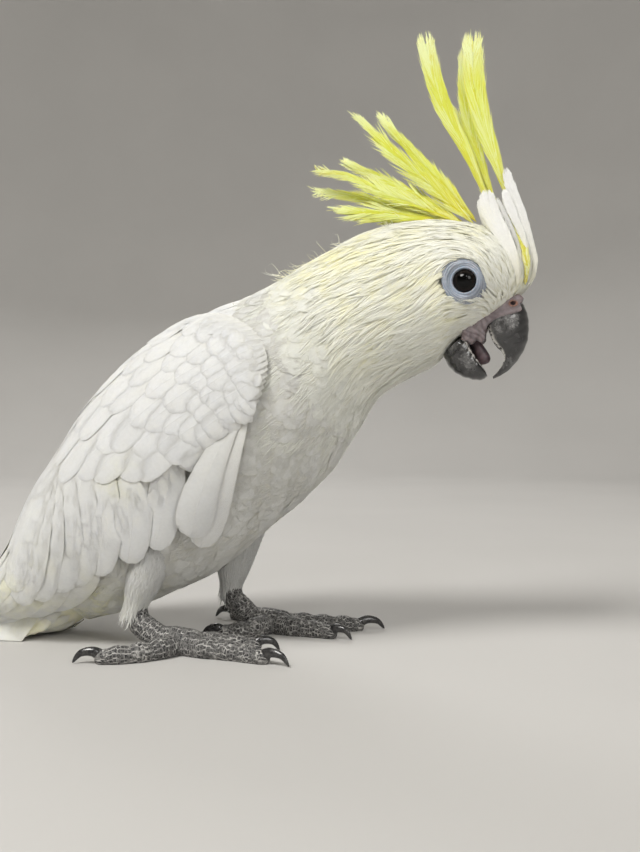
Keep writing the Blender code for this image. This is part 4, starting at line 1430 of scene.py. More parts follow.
def makeLocks(coat, roots, length, strands, form):
    # clumps of wavy strands
    place, angle = roots.T
    count = len(roots)
    rows, last = wavyRows[None], len(body.rings) - 1.02
    low, high = form["lift"]
    tone = rng.uniform(0, 1, count)
    swerve = rng.normal(0, 7, count)
    phase = rng.uniform(0, 2 * math.pi, count)[:, None]
    own = rng.uniform(-0.75, 0.35, count)[:, None]
    for k in range(strands):
        begin = np.clip(place + rng.normal(0, 0.05, count), 0.05, last)
        size = length * rng.uniform(0.75, 1.15, count)
        places, angles = walk(body, begin, angle, size, lambda p, a: headFlow(p, a) + swerve, wavyRows)
        offset = (rng.uniform(-1, 1, count) * form["spread"])[:, None] * (1 - (1 - form["gather"]) * rows)
        curl = headCoat["wave"] * np.sin(phase + rows * 5.0 + rng.uniform(0, 1.2, (count, 1))) * rows
        places, angles = sideways(body, places, angles, offset + curl)
        places = np.clip(places, 0.02, last)
        up = low + (high - low) * rows ** 0.7 + own * (0.4 + 0.6 * rows) + rng.uniform(-0.2, 0.2, (count, 1))
        up = up + headRelief(places, angles)
        half = form["half"] * rng.uniform(0.75, 1.2, count)
        strips = lay(body, places, angles, half, wavyStrand, up, threeAcross, (), 0.55, 0.0)
        coat.add(strips, place, angle, np.clip(tone + rng.normal(0, 0.12, count), 0, 1), size)


def bareHere(spots):
    # true on the bare skin round the eyes
    bare = np.zeros(len(spots), bool)
    for spot in eyeSpots:
        away = spots - spot
        bare |= (np.hypot(away[:, 0], away[:, 2]) < eye["ring"] * 1.03) & (np.abs(away[:, 1]) < 14)
    return bare


def makeHeadCoat():
    for name, start, end, spacing, strands, form, finish in headCoat["groups"]:
        coat = Coat()
        roots = sowRoots(body, start, end, lambda p: np.interp(start - p, (0, start - end), spacing))
        roots = roots[~bareHere(body.at(roots[:, 0], roots[:, 1]))]
        if form == "neck":
            roots = roots[~hiddenByWing(roots[:, 0], roots[:, 1])]
        length = np.interp(roots[:, 0], headCoat["places"], headCoat["lengths"])
        makeLocks(coat, roots, length, strands, headCoat[form])
        coat.build(name, finish, "white_feather")


makeHeadCoat()
print("head coat done")


# Crest and forehead plumes

crestVanes = (  # (x, z) from quill to tip, y at quill and tip, half width, raggedness; the front ones first
    (((129.6, 186), (126.2, 205.6), (121.0, 221), (115.6, 238), (112.4, 256), (112.2, 276.5)),
     (-0.4, -0.8), 5.6, 0.2),
    (((123.4, 188), (115.4, 208.6), (109.2, 223.4), (100.6, 240), (94.6, 257), (90.6, 276.6)),
     (-0.8, -2.4), 4.7, 0.2),
    (((126.6, 187), (119.6, 206), (115.0, 221), (110.4, 236), (108.2, 254), (108.6, 271)),
     (2.6, 3.4), 3.9, 0.25),
    (((124.8, 187.4), (117, 208), (108.6, 230), (101.0, 246)), (3, 6), 3.4, 0.6),
    (((113.6, 192), (101.6, 206.4), (89.4, 219.6), (78.4, 233.0), (68.0, 244.6)), (1.2, 3), 3.5, 0.8),
    (((112.4, 191.0), (97.2, 205.0), (83.0, 218.4), (71.4, 229.4), (56.4, 243.4)), (-1.2, -4), 3.9, 1.0),
    (((109, 191.4), (93.4, 201.0), (77.5, 209.8), (62.4, 219.0), (49.4, 226.4)), (2.8, 6.0), 2.9, 1.1),
    (((108, 190.8), (89.6, 199.0), (70.6, 207.0), (56.2, 213.6), (39.0, 217.6)), (-3, -6.4), 2.7, 1.1),
    (((106.4, 191.4), (86.6, 198.6), (68.9, 203.0), (53.2, 207.0), (37.5, 211.4)), (.8, 2), 3.3, 1.2),
    (((104, 191.6), (84.0, 195.4), (70.5, 197.6), (58.2, 198.9), (47.1, 199.4)), (-1.4, -3.4), 3.2, 1.3),
    (((107, 191.4), (91, 202), (75, 209.6), (60, 213.6)), (-1.0, -1.4), 2.8, 1.3),
    (((103, 190.8), (86, 195.0), (70, 195.6), (54, 196.4)), (1.6, 2.4), 2.8, 1.3),
)
plumeVanes = (  # (x, z) from the bill up, y outwards, half width, how far they face forward, sides
    (((135.6, 162.0), (138.2, 167.5), (139.0, 171.8), (138.0, 177.6), (135.7, 186), (132.8, 194.6),
      (130.1, 201.7), (127.9, 208), (126.2, 214.4)), (4.2, 2.2), 2.9, 0.25, (-1,)),
    (((135.6, 162.0), (138.2, 167.5), (139.0, 171.8), (138.0, 177.6), (135.5, 186), (132.5, 194.6),
      (129.7, 201.7), (127.3, 208), (125.2, 213.4)), (4.2, 2.4), 2.9, 0.25, (1,)),
    (((136.0, 163), (138.4, 169), (139.0, 174), (137.2, 182), (134.2, 191), (131.0, 200), (129.0, 206)),
     (0.0, 0.0), 2.6, 0.25, (1,)),
    (((136.0, 172), (134.4, 181.0), (131.2, 189.4), (127.9, 197.2), (126.3, 202.4), (125.8, 204.6)),
     (7.6, 4.6), 2.3, 0.25, (-1, 1)),
    (((131.0, 160.6), (131.4, 166.6), (129.7, 174.0), (125.9, 182.2), (121.9, 190.0), (119.3, 197.2),
      (118.1, 204.2)), (11.6, 13.6, 13.7, 11.8, 9.6, 7.8, 6.6), 4.9, 0.25, (-1, 1)),
    (((122.4, 180), (120.4, 187), (117.8, 194), (116.2, 201.2)), (10.0, 5.6), 3.4, 0.25, (-1,)),
    (((122.4, 180), (120.4, 187), (117.8, 194), (116.2, 201.2)), (10.0, 5.8), 3.4, 0.25, (1,)),
    (((136.2, 163.5), (138.2, 169.5), (138.4, 176), (136.0, 184), (132.8, 193), (129.8, 201.8)),
     (2.7, 1.8), 2.7, 2.2, (-1, 1)),
    (((134.8, 164.5), (136.8, 171), (136.2, 178), (133.2, 187), (130.0, 195), (127.6, 200.8)),
     (5.8, 3.7), 2.7, 2.2, (-1, 1)),
    (((131.4, 165.5), (133.4, 171), (132.0, 178), (128.8, 187), (125.2, 195), (122.4, 200.8)),
     (9.4, 5.6), 3.0, 2.2, (-1, 1)),
)
stripVane = {  # the thin yellow strip that shows between the white plumes
    "line": ((134.7, 162.0), (135.4, 170.5), (133.9, 179.3), (131.5, 185.2), (129.3, 189.6), (127.6, 193.4)),
    "depths": (9.0, 10.4, 7.6, 6.0, 5.2, 4.8), "half": 1.9, "ragged": 0.7, "barbs": 60,
}
crestForm = {"front": 4, "barbs": (170, 140), "slant": (10.0, 12.0), "waver": (0.0, 1.3)}  # front, rear
plumeForm = {"ragged": 0.12, "barbs": 110, "cup": 0.22, "barbHalf": 0.32, "slant": 11.0}
# Where along a feather, and how wide it is there
frontWidth = ((0, 0.12, 0.27, 0.4, 0.6, 0.8, 0.93, 0.98, 1), (0.16, 0.2, 0.3, 0.58, 0.9, 1.0, 0.97, 0.8, 0.6))
rearWidth = ((0, 0.1, 0.3, 0.5, 0.7, 0.85, 1), (0.3, 0.55, 0.95, 1.0, 0.8, 0.55, 0.2))
plumeWidth = ((0, 0.12, 0.35, 0.6, 0.8, 0.93, 0.98, 1), (0.12, 0.4, 0.62, 0.86, 1.0, 0.92, 0.6, 0.3))
stripWidth = ((0, 0.3, 0.55, 0.75, 1), (0.55, 0.9, 1.0, 0.6, 0.2))
blade = {"rows": (0, 0.05, 0.12, 0.22, 0.34, 0.46, 0.58, 0.7, 0.8, 0.88, 0.94, 0.98, 1),
         "across": (-1, -0.75, -0.4, 0, 0.4, 0.75, 1), "long": 0.955, "wide": 0.93, "thick": 0.5}


def freeStrips(paths, facing, half, shape, dome=0.5, thick=None, columns=threeAcross):
    # strands along free paths (n, rows, 3), flat towards facing; with thick, they are closed behind
    ring = np.array(columns + ((0,) if thick is not None else ()), float)
    ahead = unit(np.gradient(paths, axis=1))
    side = unit(np.cross(np.broadcast_to(facing, paths.shape), ahead))
    up = np.cross(ahead, side)
    size = np.reshape(half, (-1, 1)) * np.array(shape["wide"])
    reach = size[..., None] * ring
    rise = dome * size[..., None] * (1 - ring ** 2)
    if thick is not None:
        rise[..., -1] -= thick
    points = paths[:, :, None] + side[:, :, None] * reach[..., None] + up[:, :, None] * rise[..., None]
    return closeStrips(paths[:, 0], points[:, 1:-1], paths[:, -1], reach[:, 1:-1], np.array(shape["rows"]))


def featherLine(line, depths, waver):
    # how to read a path through (x, z) spots at any share of its length, and that length
    steps = len(line) - 1
    if len(depths) == 2:
        depths = np.linspace(*depths, steps + 1)
    controls = np.array([(x, y, z) for (x, z), y in zip(line, depths)])
    t = np.linspace(0, 1, 91)
    fine = smoothPick(controls, t * steps)
    bend = waver * np.sin(t * 9.0 + rng.uniform(0, 6)) * t ** 2
    fine = fine + np.stack([0 * t, 1.2 * bend, bend], -1)
    travelled = pathLength(fine)
    share = travelled / travelled[-1]
    return lambda v: np.stack([np.interp(v, share, fine[:, k]) for k in range(3)], -1), travelled[-1]


def addBlade(coat, along, facing, half, outline, full, cup):
    # the closed vane that a loose feather's barbs lie on
    rows = np.array(blade["rows"])
    wide = np.interp(rows, *outline)
    wide[[0, -1]] = 0
    strips = freeStrips(along(rows * blade["long"])[None], facing, np.array([half * blade["wide"]]),
                        {"rows": rows, "wide": wide}, cup, blade["thick"], blade["across"])
    coat.add(strips, np.array([10.0]), np.array([5.0]), np.array([0.4]), np.array([full]), False)


def addBarbs(coat, side, over, count, feather):
    # the fine barbs of one side and one face of a feather, which run on to a frayed tip
    along, full, facing, half, outline, ragged, cup, barbHalf, slant = feather
    start = np.sort(rng.uniform(0.0, 0.93, count))
    clump = np.cumsum(rng.random(count) < 0.12)
    lean = rng.normal(0, 1, clump.max() + 1)[clump]
    cut = rng.uniform(0, 1, clump.max() + 1)[clump]
    tone = np.clip(0.5 + 0.2 * lean + rng.normal(0, 0.15, count), 0, 1)
    length = half / math.sin(math.radians(slant)) * rng.uniform(0.7, 1.1, count)
    furthest = 1.0 + (0.014 + 0.03 * ragged) * rng.uniform(-2.4, 1.0, count)
    finish = np.minimum(start + length / full, furthest)
    finish = np.where(finish >= 0.98, finish - 0.10 * max(ragged - 0.1, 0.05) * cut, finish)
    share = rng.uniform(0.1, 1.0, count) ** (0.6 if ragged > 0.5 else 0.85) * (1 + 0.16 * ragged * lean)
    paths = []
    for v in wavyRows:
        spot = start + (finish - start) * v
        ahead = unit(along(np.clip(spot + 0.02, 0.02, 1.0)) - along(np.clip(spot, 0.0, 0.98)))
        out = side * unit(np.cross(facing, ahead))
        width = half * np.interp(spot, *outline) * share * v ** 0.75 + 0.9 * ragged * lean * v ** 2
        rise = cup * half * (1 - share ** 2 * v) * over + 0.14 * over + rng.normal(0, 0.05, count)
        rise = rise + rng.normal(0, 0.15, count) * ragged * v ** 2
        past = np.maximum(spot - 1, 0)[:, None] * full * ahead
        paths.append(along(np.clip(spot, 0, 1)) + out * width[:, None] + past + facing * rise[:, None])
    strips = freeStrips(np.stack(paths, 1), facing * over, np.full(count, barbHalf), wavyStrand, 0.45)
    coat.add(strips, 9 + 3 * start, np.full(count, 8.0 * side), tone, length, False)
    # the along map runs from the quill to the tip of the whole feather
    last = coat.parts[-1]
    each = strips[0].shape[1]
    reach = np.repeat(start, each) + np.repeat(finish - start, each) * last[5]
    coat.parts[-1] = last[:5] + (np.clip(reach, 0, 1),)


def addPlume(coat, line, depths, half, ragged, outline, barbs, facing=(0.0, -1.0, 0.0), cup=0.10,
             barbHalf=0.3, slant=13.0, waver=0.0):
    # one loose feather: a vane, and barbs that leave its shaft on both sides of both faces
    along, full = featherLine(line, depths, waver)
    facing = np.array(facing)
    addBlade(coat, along, facing, half * (0.95 - 0.34 * ragged), outline, full, cup)
    feather = along, full, facing, half, outline, ragged, cup, barbHalf, slant
    for side in (-1, 1):
        addBarbs(coat, side, 1, barbs, feather)
        addBarbs(coat, side, -1, barbs // 2, feather)


def makeCrest():
    coat = Coat()
    for k, (line, depths, half, ragged) in enumerate(crestVanes):
        rear = 0 if k < crestForm["front"] else 1
        outline = (frontWidth, rearWidth)[rear]
        addPlume(coat, line, depths, half, ragged, outline, crestForm["barbs"][rear],
                 slant=crestForm["slant"][rear], waver=crestForm["waver"][rear])
    coat.build("crest_feathers", crestYellow, "yellow_feather", *(f"crest_front_{k}" for k in range(1, 5)),
               *(f"crest_rear_{k}" for k in range(1, 7)))


def makePlumes():
    coat = Coat()
    for line, depths, half, front, sides in plumeVanes:
        for side in sides:
            facing = unit(np.array((front, side, 0.3 * front))) if depths[0] else (1.0, 0.0, 0.3)
            depth = [side * y for y in depths]
            addPlume(coat, line, depth, half, plumeForm["ragged"], plumeWidth, plumeForm["barbs"], facing,
                     plumeForm["cup"], plumeForm["barbHalf"], plumeForm["slant"])
    coat.build("forehead_plumes", plumeWhite, "white_feather", "plume_front_right", "plume_front_left",
               "plume_right", "plume_left")


def makeStrips():
    coat = Coat()
    for side in (-1, 1):
        depths = [side * y for y in stripVane["depths"]]
        addPlume(coat, stripVane["line"], depths, stripVane["half"], stripVane["ragged"], stripWidth,
                 stripVane["barbs"], facing=unit(np.array((0.4, side, 0.1))))
    coat.build("forehead_yellow", stripYellow, "yellow_feather")


makeCrest()
makePlumes()
makeStrips()
print("crest done")


# Loose down that stands off the nape and back

down = {"nape": (5.4, 9.3, 24), "back": (4.2, 5.6, 10),  # from and to which place, how many tufts
        "length": 6.0, "half": 0.12,
        "shape": {"rows": np.linspace(0, 1, 7), "wide": (0, 1, 1, 0.9, 0.75, 0.5, 0)}}


def makeDown():
    coat = Coat()
    spots = np.concatenate([rng.uniform(*down["nape"]), rng.uniform(*down["back"])])
    tufts = len(spots)
    turns = rng.normal(0, 15, tufts)
    leans = rng.uniform(0.3, 2.4, tufts)
    sizes = rng.uniform(0.45, 1.25, tufts) * np.where(rng.random(tufts) < 0.2, 1.5, 1.0)
    tuft = np.repeat(np.arange(tufts), rng.integers(3, 8, tufts))
    count = len(tuft)
    place = spots[tuft] + rng.normal(0, 0.05, count)
    angle = turns[tuft] + rng.normal(0, 1.6, count)
    root = body.at(place, angle, -0.8)
    up = body.normal(place, angle)
    back = -unit(body.slopes(place, angle)[0])
    apart = rng.normal(0, 0.22, root.shape) + rng.normal(0, 0.3, (tufts, 3))[tuft]
    heading = unit(up + back * leans[tuft][:, None] + apart)
    length = (down["length"] * sizes[tuft] * rng.uniform(0.45, 1.1, count))[:, None]
    bend = rng.normal(0, 0.45, (tufts, 3))[tuft] + rng.normal(0, 0.25, root.shape) + 0.2 * up
    curl = rng.normal(0, 0.16, root.shape)
    paths = np.stack([root + length * (heading * v + 0.55 * bend * v ** 2 + curl * math.sin(6 * v) * v)
                      for v in down["shape"]["rows"]], 1)
    strips = freeStrips(paths, np.array([0.1, -1.0, 0.1]), np.full(count, down["half"]), down["shape"], 0.9)
    coat.add(strips, place, angle, rng.uniform(0.3, 1, count), length[:, 0], False)
    coat.build("loose_down", headWhite, "white_feather")


makeDown()


# Eyes and the bare skin round them

def makeEyes():
    material, wires, shader = newMaterial("eyeDark", Roughness=0.05, Specular_IOR_Level=0.2)
    place = wires.place()
    pupil = wires.near(wires.bothSides(place), (eye["x"], eye["y"] + eye["ball"], eye["z"]), 3.1, 3.5)
    streak = wires.ramp(wires.noise(place, 900.0, 4.0), 0.3, 0.7)
    iris = wires.mix(streak, (0.004, 0.0025, 0.002, 1), (0.010, 0.006, 0.004, 1))
    wires.feed(shader, "Base Color", wires.mix(pupil, iris, (0.001, 0.001, 0.001, 1)))
    for spot, name in zip(eyeSpots, ("right", "left")):
        deselect()
        bpy.ops.mesh.primitive_uv_sphere_add(segments=64, ring_count=40, radius=eye["ball"] * mm,
                                             location=(spot + shift) * mm, rotation=(math.radians(90), 0, 0))
        ball = bpy.context.object
        ball.name = f"eyeball_{name}"
        bpy.ops.object.transform_apply(location=True, rotation=True, scale=True)
        # the clear front stands a little proud of the ball
        spots = coordinates(ball)
        away = spots - spot
        front = away[:, 1] * np.sign(spot[1]) / eye["ball"]
        moveTo(ball, spots + unit(away) * (eye["bulge"] * ease(0.62, 1.0, front))[:, None])
        ball.data.shade_smooth()
        settle(ball, material, "eye", f"eye_{name}")


def makeBareSkin(name, colours, scale, rough=0.45):
    # bare skin from two cloudy colours, a dark colour painted as shade in its folds and hollows, and one on
    # its rim
    dark, light, creaseShade, rimmed = colours
    material, wires, shader = newMaterial(name, Roughness=rough, Subsurface_Weight=0.25,
                                          Subsurface_Scale=0.0015, Specular_IOR_Level=0.3)
    shader.inputs["Subsurface Radius"].default_value = (1.0, 0.45, 0.35)
    place = wires.place()
    base = wires.mix(wires.ramp(wires.noise(place, scale, 4.0, 0.6), 0.32, 0.68), dark, light)
    # painted shade: where the fold map is low the skin turns towards the dark fold colour
    base = wires.mix(wires.ramp(wires.attribute("fold"), 0.0, 1.0, 0.75, 0.0), base, creaseShade)
    wires.feed(shader, "Base Color", wires.mix(wires.attribute("rim"), base, rimmed))
    pits = wires.cells(place, scale * 6, {"feature": "DISTANCE_TO_EDGE"})
    height = wires.math("ADD", wires.ramp(pits, 0.0, 0.25), wires.noise(place, scale * 9, 3.0))
    wires.relief(shader, height, 0.3, 0.25)
    return material


def surfaceDepth(x, z, side, lift):
    # how far out the surface of the body lies at a spot of its side view, found in a few steps
    place = np.full(np.shape(x), eyePlace)
    angle = np.full(np.shape(x), side * eyeAngle)
    for _ in range(8):
        spot = body.at(place, angle, lift)
        forward, around = body.slopes(place, angle)
        dx, dz = x - spot[..., 0], z - spot[..., 2]
        size = forward[..., 0] * around[..., 2] - forward[..., 2] * around[..., 0]
        size = np.where(np.abs(size) < 0.5, 0.5 * np.sign(size + 1e-9), size)
        place = place + np.clip((dx * around[..., 2] - dz * around[..., 0]) / size, -0.4, 0.4)
        angle = angle + np.clip((forward[..., 0] * dz - forward[..., 2] * dx) / size, -15, 15)
    return body.at(place, angle, lift)[..., 1]


eyeRing = {
    "around": 160, "steps": 44,
    "under": 1.5,        # how far it runs on under the coat
    "lip": 0.55,         # how far the lid stands off the ball
    "folds": 0.95,       # mm from one fold to the next
    "foldDepth": 0.13, "lid": 0.4, "swell": 0.5, "thick": 3.4,
}


def eyeFolds(radius, turn, share):
    # uneven rings of fine folds round the eye
    wobble = (0.4 * np.sin(2 * turn + 0.6) + 0.24 * np.sin(3 * turn + 2.0) + 0.12 * np.sin(7 * turn + 1)
              + 0.07 * np.sin(17 * turn))
    out = radius - eye["opening"] - 0.55 + wobble * ease(0.15, 0.6, share)
    fold = np.cos(2 * math.pi * out / eyeRing["folds"])
    fold = fold * (0.45 + 0.4 * np.sin(4 * turn + 5 * share + 1.0) * ease(0.2, 0.5, share))
    return fold + 0.12 * np.sin(46 * turn + 6 * np.sin(3 * turn))


def makeEyeRings():
    around, steps = eyeRing["around"], eyeRing["steps"]
    turn = np.linspace(0, 2 * math.pi, around, endpoint=False)
    share = np.linspace(0, 1, steps)[:, None]
    inner = eye["opening"] - 0.25
    radius = inner + (ringEdge(turn) + eyeRing["under"] - inner) * share
    rim = eye["y"] + math.sqrt(eye["ball"] ** 2 - eye["opening"] ** 2) + eyeRing["lip"]
    fold = eyeFolds(radius, turn, share)
    amount = eyeRing["foldDepth"] * ease(0.04, 0.2, share) * (1 - ease(0.8, 1.0, share))
    amount = amount * (0.8 + 0.4 * np.cos(turn - 2.4))
    lid = eyeRing["lid"] * bell(radius, eye["opening"] + 0.5, 0.45)
    opening = np.clip((eye["opening"] - radius + 0.35) / 0.6, 0, 1)
    for spot, side, name in zip(eyeSpots, (-1, 1), ("right", "left")):
        x = spot[0] + radius * np.cos(turn)
        z = spot[2] + radius * np.sin(turn)
        coatLevel = np.abs(surfaceDepth(x, z, side, -0.45))
        y = rim + (coatLevel + 0.2 - rim) * ease(0.0, 0.8, share) + fold * amount + lid
        y = y + eyeRing["swell"] * bell(share, 0.5, 0.22) - 1.1 * opening ** 2 - 2.6 * ease(0.92, 1.0, share)
        front = np.stack([x, side * y, z], -1)
        back = np.stack([x, side * (np.minimum(y, rim + 1) - eyeRing["thick"]), z], -1)
        rings = np.concatenate([front, back[::-1]])
        faces = []
        for i in range(len(rings)):
            j = (i + 1) % len(rings)
            for k in range(around):
                n = (k + 1) % around
                quad = (i * around + k, i * around + n, j * around + n, j * around + k)
                faces.append(quad if side > 0 else quad[::-1])
        made = makeObject(f"eyelid_{name}", rings.reshape(-1, 3), faces, 70)
        # painted shade in the creases between the folds, less of it near the lid; the hidden back gets none
        creaseShade = np.clip(0.5 + 0.5 * fold + 0.4 * ease(0.25, 0.0, share), 0, 1)
        paint(made, "fold", np.concatenate([creaseShade, np.ones_like(fold)]))
        pale = 0.8 * bell(radius, eye["opening"] + 0.75, 0.55)
        paint(made, "rim", np.concatenate([pale, np.zeros_like(fold)]))
        settle(made, lidSkin, "eye_skin", f"eye_ring_{name}")


makeEyes()
# the third colour is the painted shade in the folds
lidSkin = makeBareSkin("lidSkin", ((0.33, 0.37, 0.43, 1), (0.48, 0.52, 0.58, 1), (0.17, 0.19, 0.24, 1),
                                   (0.30, 0.35, 0.44, 1)), 220.0)
makeEyeRings()
print("eyes done")


# The bill

bill = {  # rings as those of the body, squareness, narrowing above, hollow, keel, cutting edge in degrees
    "upper": (((133.9, 155.0, 117.0, 145.0, 8.6),      # base
               (135.6, 149.6, 118.0, 141.2, 8.3),
               (135.9, 144.0, 120.2, 136.8, 7.5),
               (135.0, 137.4, 124.0, 133.4, 6.2),      # tooth
               (131.6, 130.8, 125.2, 130.4, 4.6),
               (126.6, 125.4, 123.6, 126.6, 2.6),
               (120.9, 122.1, 120.6, 123.0, 0.7)),     # tip
              2.3, 0.22, 0.32, 0.45, 138),
    "lower": (((107.6, 140.7, 98.9, 132.6, 7.6),       # base
               (110.6, 138.8, 101.2, 127.8, 8.2),
               (111.6, 135.8, 105.4, 124.0, 7.9),
               (113.4, 132.4, 111.2, 121.9, 7.0),
               (115.2, 129.2, 115.8, 121.6, 5.6),
               (117.4, 125.8, 118.4, 123.2, 3.6)),     # tip
              2.5, -0.12, 0.0, 0.0, 44),
}
billGrid = (84, 96)  # rows and columns of points


def makeHorn():
    # black horn with pale powder near its base, flaked edges and fine ridges
    material, wires, shader = newMaterial("billHorn", Roughness=0.38, Specular_IOR_Level=0.5,
                                          Coat_Weight=0.85, Coat_Roughness=0.12)
    place = wires.place()
    wear, edge = wires.attribute("wear"), wires.attribute("edge")
    cloud = wires.noise(place, 150.0, 5.0, 0.62)
    powder = wires.ramp(wires.math("ADD", cloud, wires.times(wear, 0.24)), 0.56, 0.90)
    speck = wires.ramp(wires.noise(place, 1300.0, 2.0), 0.45, 0.75, 0.4, 1.2)
    patch = wires.ramp(wires.noise(place, 60.0), 0.35, 0.65)
    base = wires.mix(patch, (0.007, 0.007, 0.008, 1), (0.022, 0.021, 0.022, 1))
    dusty = wires.mix(wires.times(powder, speck, clamp=True), base, (0.36, 0.355, 0.35, 1))
    flake = wires.times(edge, wires.ramp(wires.noise(place, 800.0, 3.0), 0.36, 0.54), clamp=True)
    wires.feed(shader, "Base Color", wires.mix(flake, dusty, (0.68, 0.66, 0.62, 1)))
    wires.feed(shader, "Roughness", wires.ramp(wires.math("ADD", powder, flake), 0.0, 1.0, 0.2, 0.6))
    ridges = wires.node("TexWave", {"bands_direction": "Z", "wave_profile": "SIN"}, Vector=place, Scale=160.0,
                        Distortion=6.0, Detail=3.0, Detail_Scale=2.0).outputs["Fac"]
    rough = wires.math("ADD", cloud, wires.times(flake, 0.7))
    wires.relief(shader, wires.math("ADD", wires.times(ridges, 0.3), rough), 0.28, 0.3)
    return material


def makeBill(half):
    rings, squareness, belly, hollow, keel, edgeAt = bill[half]
    shape = Loft(rings, squareness, belly)
    last = len(rings) - 1
    places = last * (1 - (1 - np.linspace(0, 1, billGrid[0])) ** 1.15)  # closer together at the tip
    turn = np.linspace(-180, 180, billGrid[1], endpoint=False)
    p, a = np.meshgrid(places, turn, indexing="ij")
    share = p / last
    fade = np.sin(np.pi * np.clip(share, 0, 1)) ** 0.5
    lift = keel * bell(a, 0, 26)                                            # the ridge along the middle
    lift = lift + 0.10 * np.sin(p * 9 + np.cos(np.radians(a)) * 1.5)        # growth lines
    lift = (lift + 0.22 * bell(np.abs(a), edgeAt, 9)) * fade                # the cutting edge
    under = ease(edgeAt + 4, 178, np.abs(a)) * fade * ease(0.0, 0.15, share) * (1 - ease(0.75, 1.0, share))
    inwards = shape.at(p, 0 * a) - shape.at(p, 0 * a + 180)
    ragged = rng.normal(0, 1, billGrid)
    edge = bell(np.abs(a), edgeAt, 6) * fade
    points = shape.at(p, a, lift) + inwards * (hollow * under)[..., None]
    points = points + shape.normal(p, a) * (0.07 * ragged * edge)[..., None]
    made = makeObject(f"{half}_mandible", *tubeMesh(points), 75)
    ends = (0, 0)
    paint(made, "edge", np.append(np.clip(edge * 1.4, 0, 1), ends))
    paint(made, "wear", np.append(bell(np.abs(a), 75, 40) * (1 - share), ends))
    settle(made, horn, "bill", f"{half}_bill")


horn = makeHorn()
for half in bill:
    makeBill(half)


# The cere, with the bare skin that runs on to the corner of the mouth

cere = {
    "rings": ((133.3, 158.7, 112.1, 143.0, 10.3), (134.2, 157.4, 114.6, 143.8, 10.2),
              (133.6, 155.5, 116.7, 145.4, 8.8)),
    "squareness": 1.85, "voxel": 0.38, "smoothing": 3,
    "nostril": (129.6, 9.4, 154.2), "nostrilDepth": 1.7, "nostrilRim": 0.4, "wrinkle": 0.10,
    "folds": (  # points from under the nostril to the corner of the mouth; where along, and how thick there
        (((131.6, 7.9, 156.2), (126.6, 8.5, 154.9), (121.0, 8.6, 152.2), (115.4, 8.7, 149.4),
          (111.2, 8.5, 146.4), (109.4, 8.0, 143.0), (108.9, 7.2, 139.8)),
         (0, 0.4, 0.8, 1), (2.1, 2.2, 2.2, 1.6)),
        (((130.6, 7.8, 154.0), (124.6, 8.2, 152.2), (119.0, 8.2, 149.8), (114.6, 7.9, 146.8),
          (112.4, 7.3, 143.2), (111.8, 6.4, 139.8)), (0, 0.5, 1), (2.2, 2.3, 1.9)),
        (((131.9, 7.1, 152.2), (126.0, 7.9, 150.6), (121.0, 8.2, 148.9), (117.4, 7.9, 146.2),
          (115.8, 6.9, 143.0), (115.6, 5.6, 139.8)), (0, 0.5, 1), (1.5, 1.9, 2.0)),
    ),
    "corner": (((115.5, 5.5, 145.2), (112.6, 5.0, 142.0), (111.0, 4.2, 139.6)), (3.0, 3.2, 2.6)),
    "bridge": (((113, -5, 142.0), (113, 0, 142.0), (113, 5, 142.0)), (3.2, 3.2, 3.2)),
}


def makeCere():
    shape = Loft(cere["rings"], cere["squareness"])
    parts = [tubeMesh(surfaceGrid(shape, np.linspace(0, 2, 14), 64, np.full(14, -0.15)))]
    t = np.linspace(0, 1, 26)
    for side in (-1, 1):
        for points, along, thick in cere["folds"]:
            line = smoothPick(np.array(points) * (1, side, 1), t * (len(points) - 1))
            parts.append(pipe(line, np.interp(t, along, thick)))
        points, thick = cere["corner"]
        parts.append(pipe(np.array(points) * (1, side, 1), thick))
    parts.append(pipe(*cere["bridge"]))
    made = makeObject("cere_skin", *joined(parts))
    remesh(made, cere["voxel"], cere["smoothing"])
    spots, facing = coordinates(made), normals(made)
    rim, hole = np.zeros(len(spots)), np.zeros(len(spots))
    for side in (-1, 1):
        away = spots - np.array(cere["nostril"]) * (1, side, 1)
        far = np.hypot(away[:, 0] / 1.35, away[:, 2])
        mine = spots[:, 1] * side > 4
        hole += cere["nostrilDepth"] * np.exp(-((far / 0.75) ** 4)) * mine
        rim = np.maximum(rim, bell(far, 1.1, 0.4) * mine)
    spots = spots + facing * (cere["nostrilRim"] * rim - hole)[:, None]
    x, z = spots[:, 0], spots[:, 2]
    wander = 1.9 * np.sin(z * 0.8) + 1.3 * np.sin(x * 0.7)
    wrinkle = np.sin((0.8 * x + 0.9 * z) * 2.1 + wander) * ease(128, 116, x)
    moveTo(made, spots + facing * (cere["wrinkle"] * wrinkle)[:, None])
    # painted shade: the nostril's hole and the creases of the wrinkles get the dark fold colour, and the rim
    # colour is kept off the hole
    dark = np.clip(hole, 0, 1)
    paint(made, "rim", rim * 0.9 * (1 - dark))
    paint(made, "fold", np.clip(0.75 + 0.3 * wrinkle - dark * 1.5, 0, 1))
    settle(made, cereSkin, "cere", "cere")


# the third colour is the painted shade in the creases and the nostril
cereSkin = makeBareSkin("cereSkin", ((0.22, 0.18, 0.19, 1), (0.36, 0.31, 0.32, 1), (0.07, 0.05, 0.058, 1),
                                     (0.27, 0.13, 0.08, 1)), 190.0)
makeCere()


# The tongue

tongueForm = {
    "root": (112.6, 0, 140.6), "half": 1.6,
    "steps": (  # each pulls the end on (forward, up) and widens or narrows it
        (0.4, -1.4, 1.35), (0.5, -1.5, 1.2), (0.7, -1.5, 1.12), (0.9, -1.6, 1.08), (0.8, -1.6, 1.05),
        (0.5, -1.5, 1.02), (0.1, -1.4, 0.95), (-0.3, -1.1, 0.8), (-0.5, -0.6, 0.5),
    ),
}


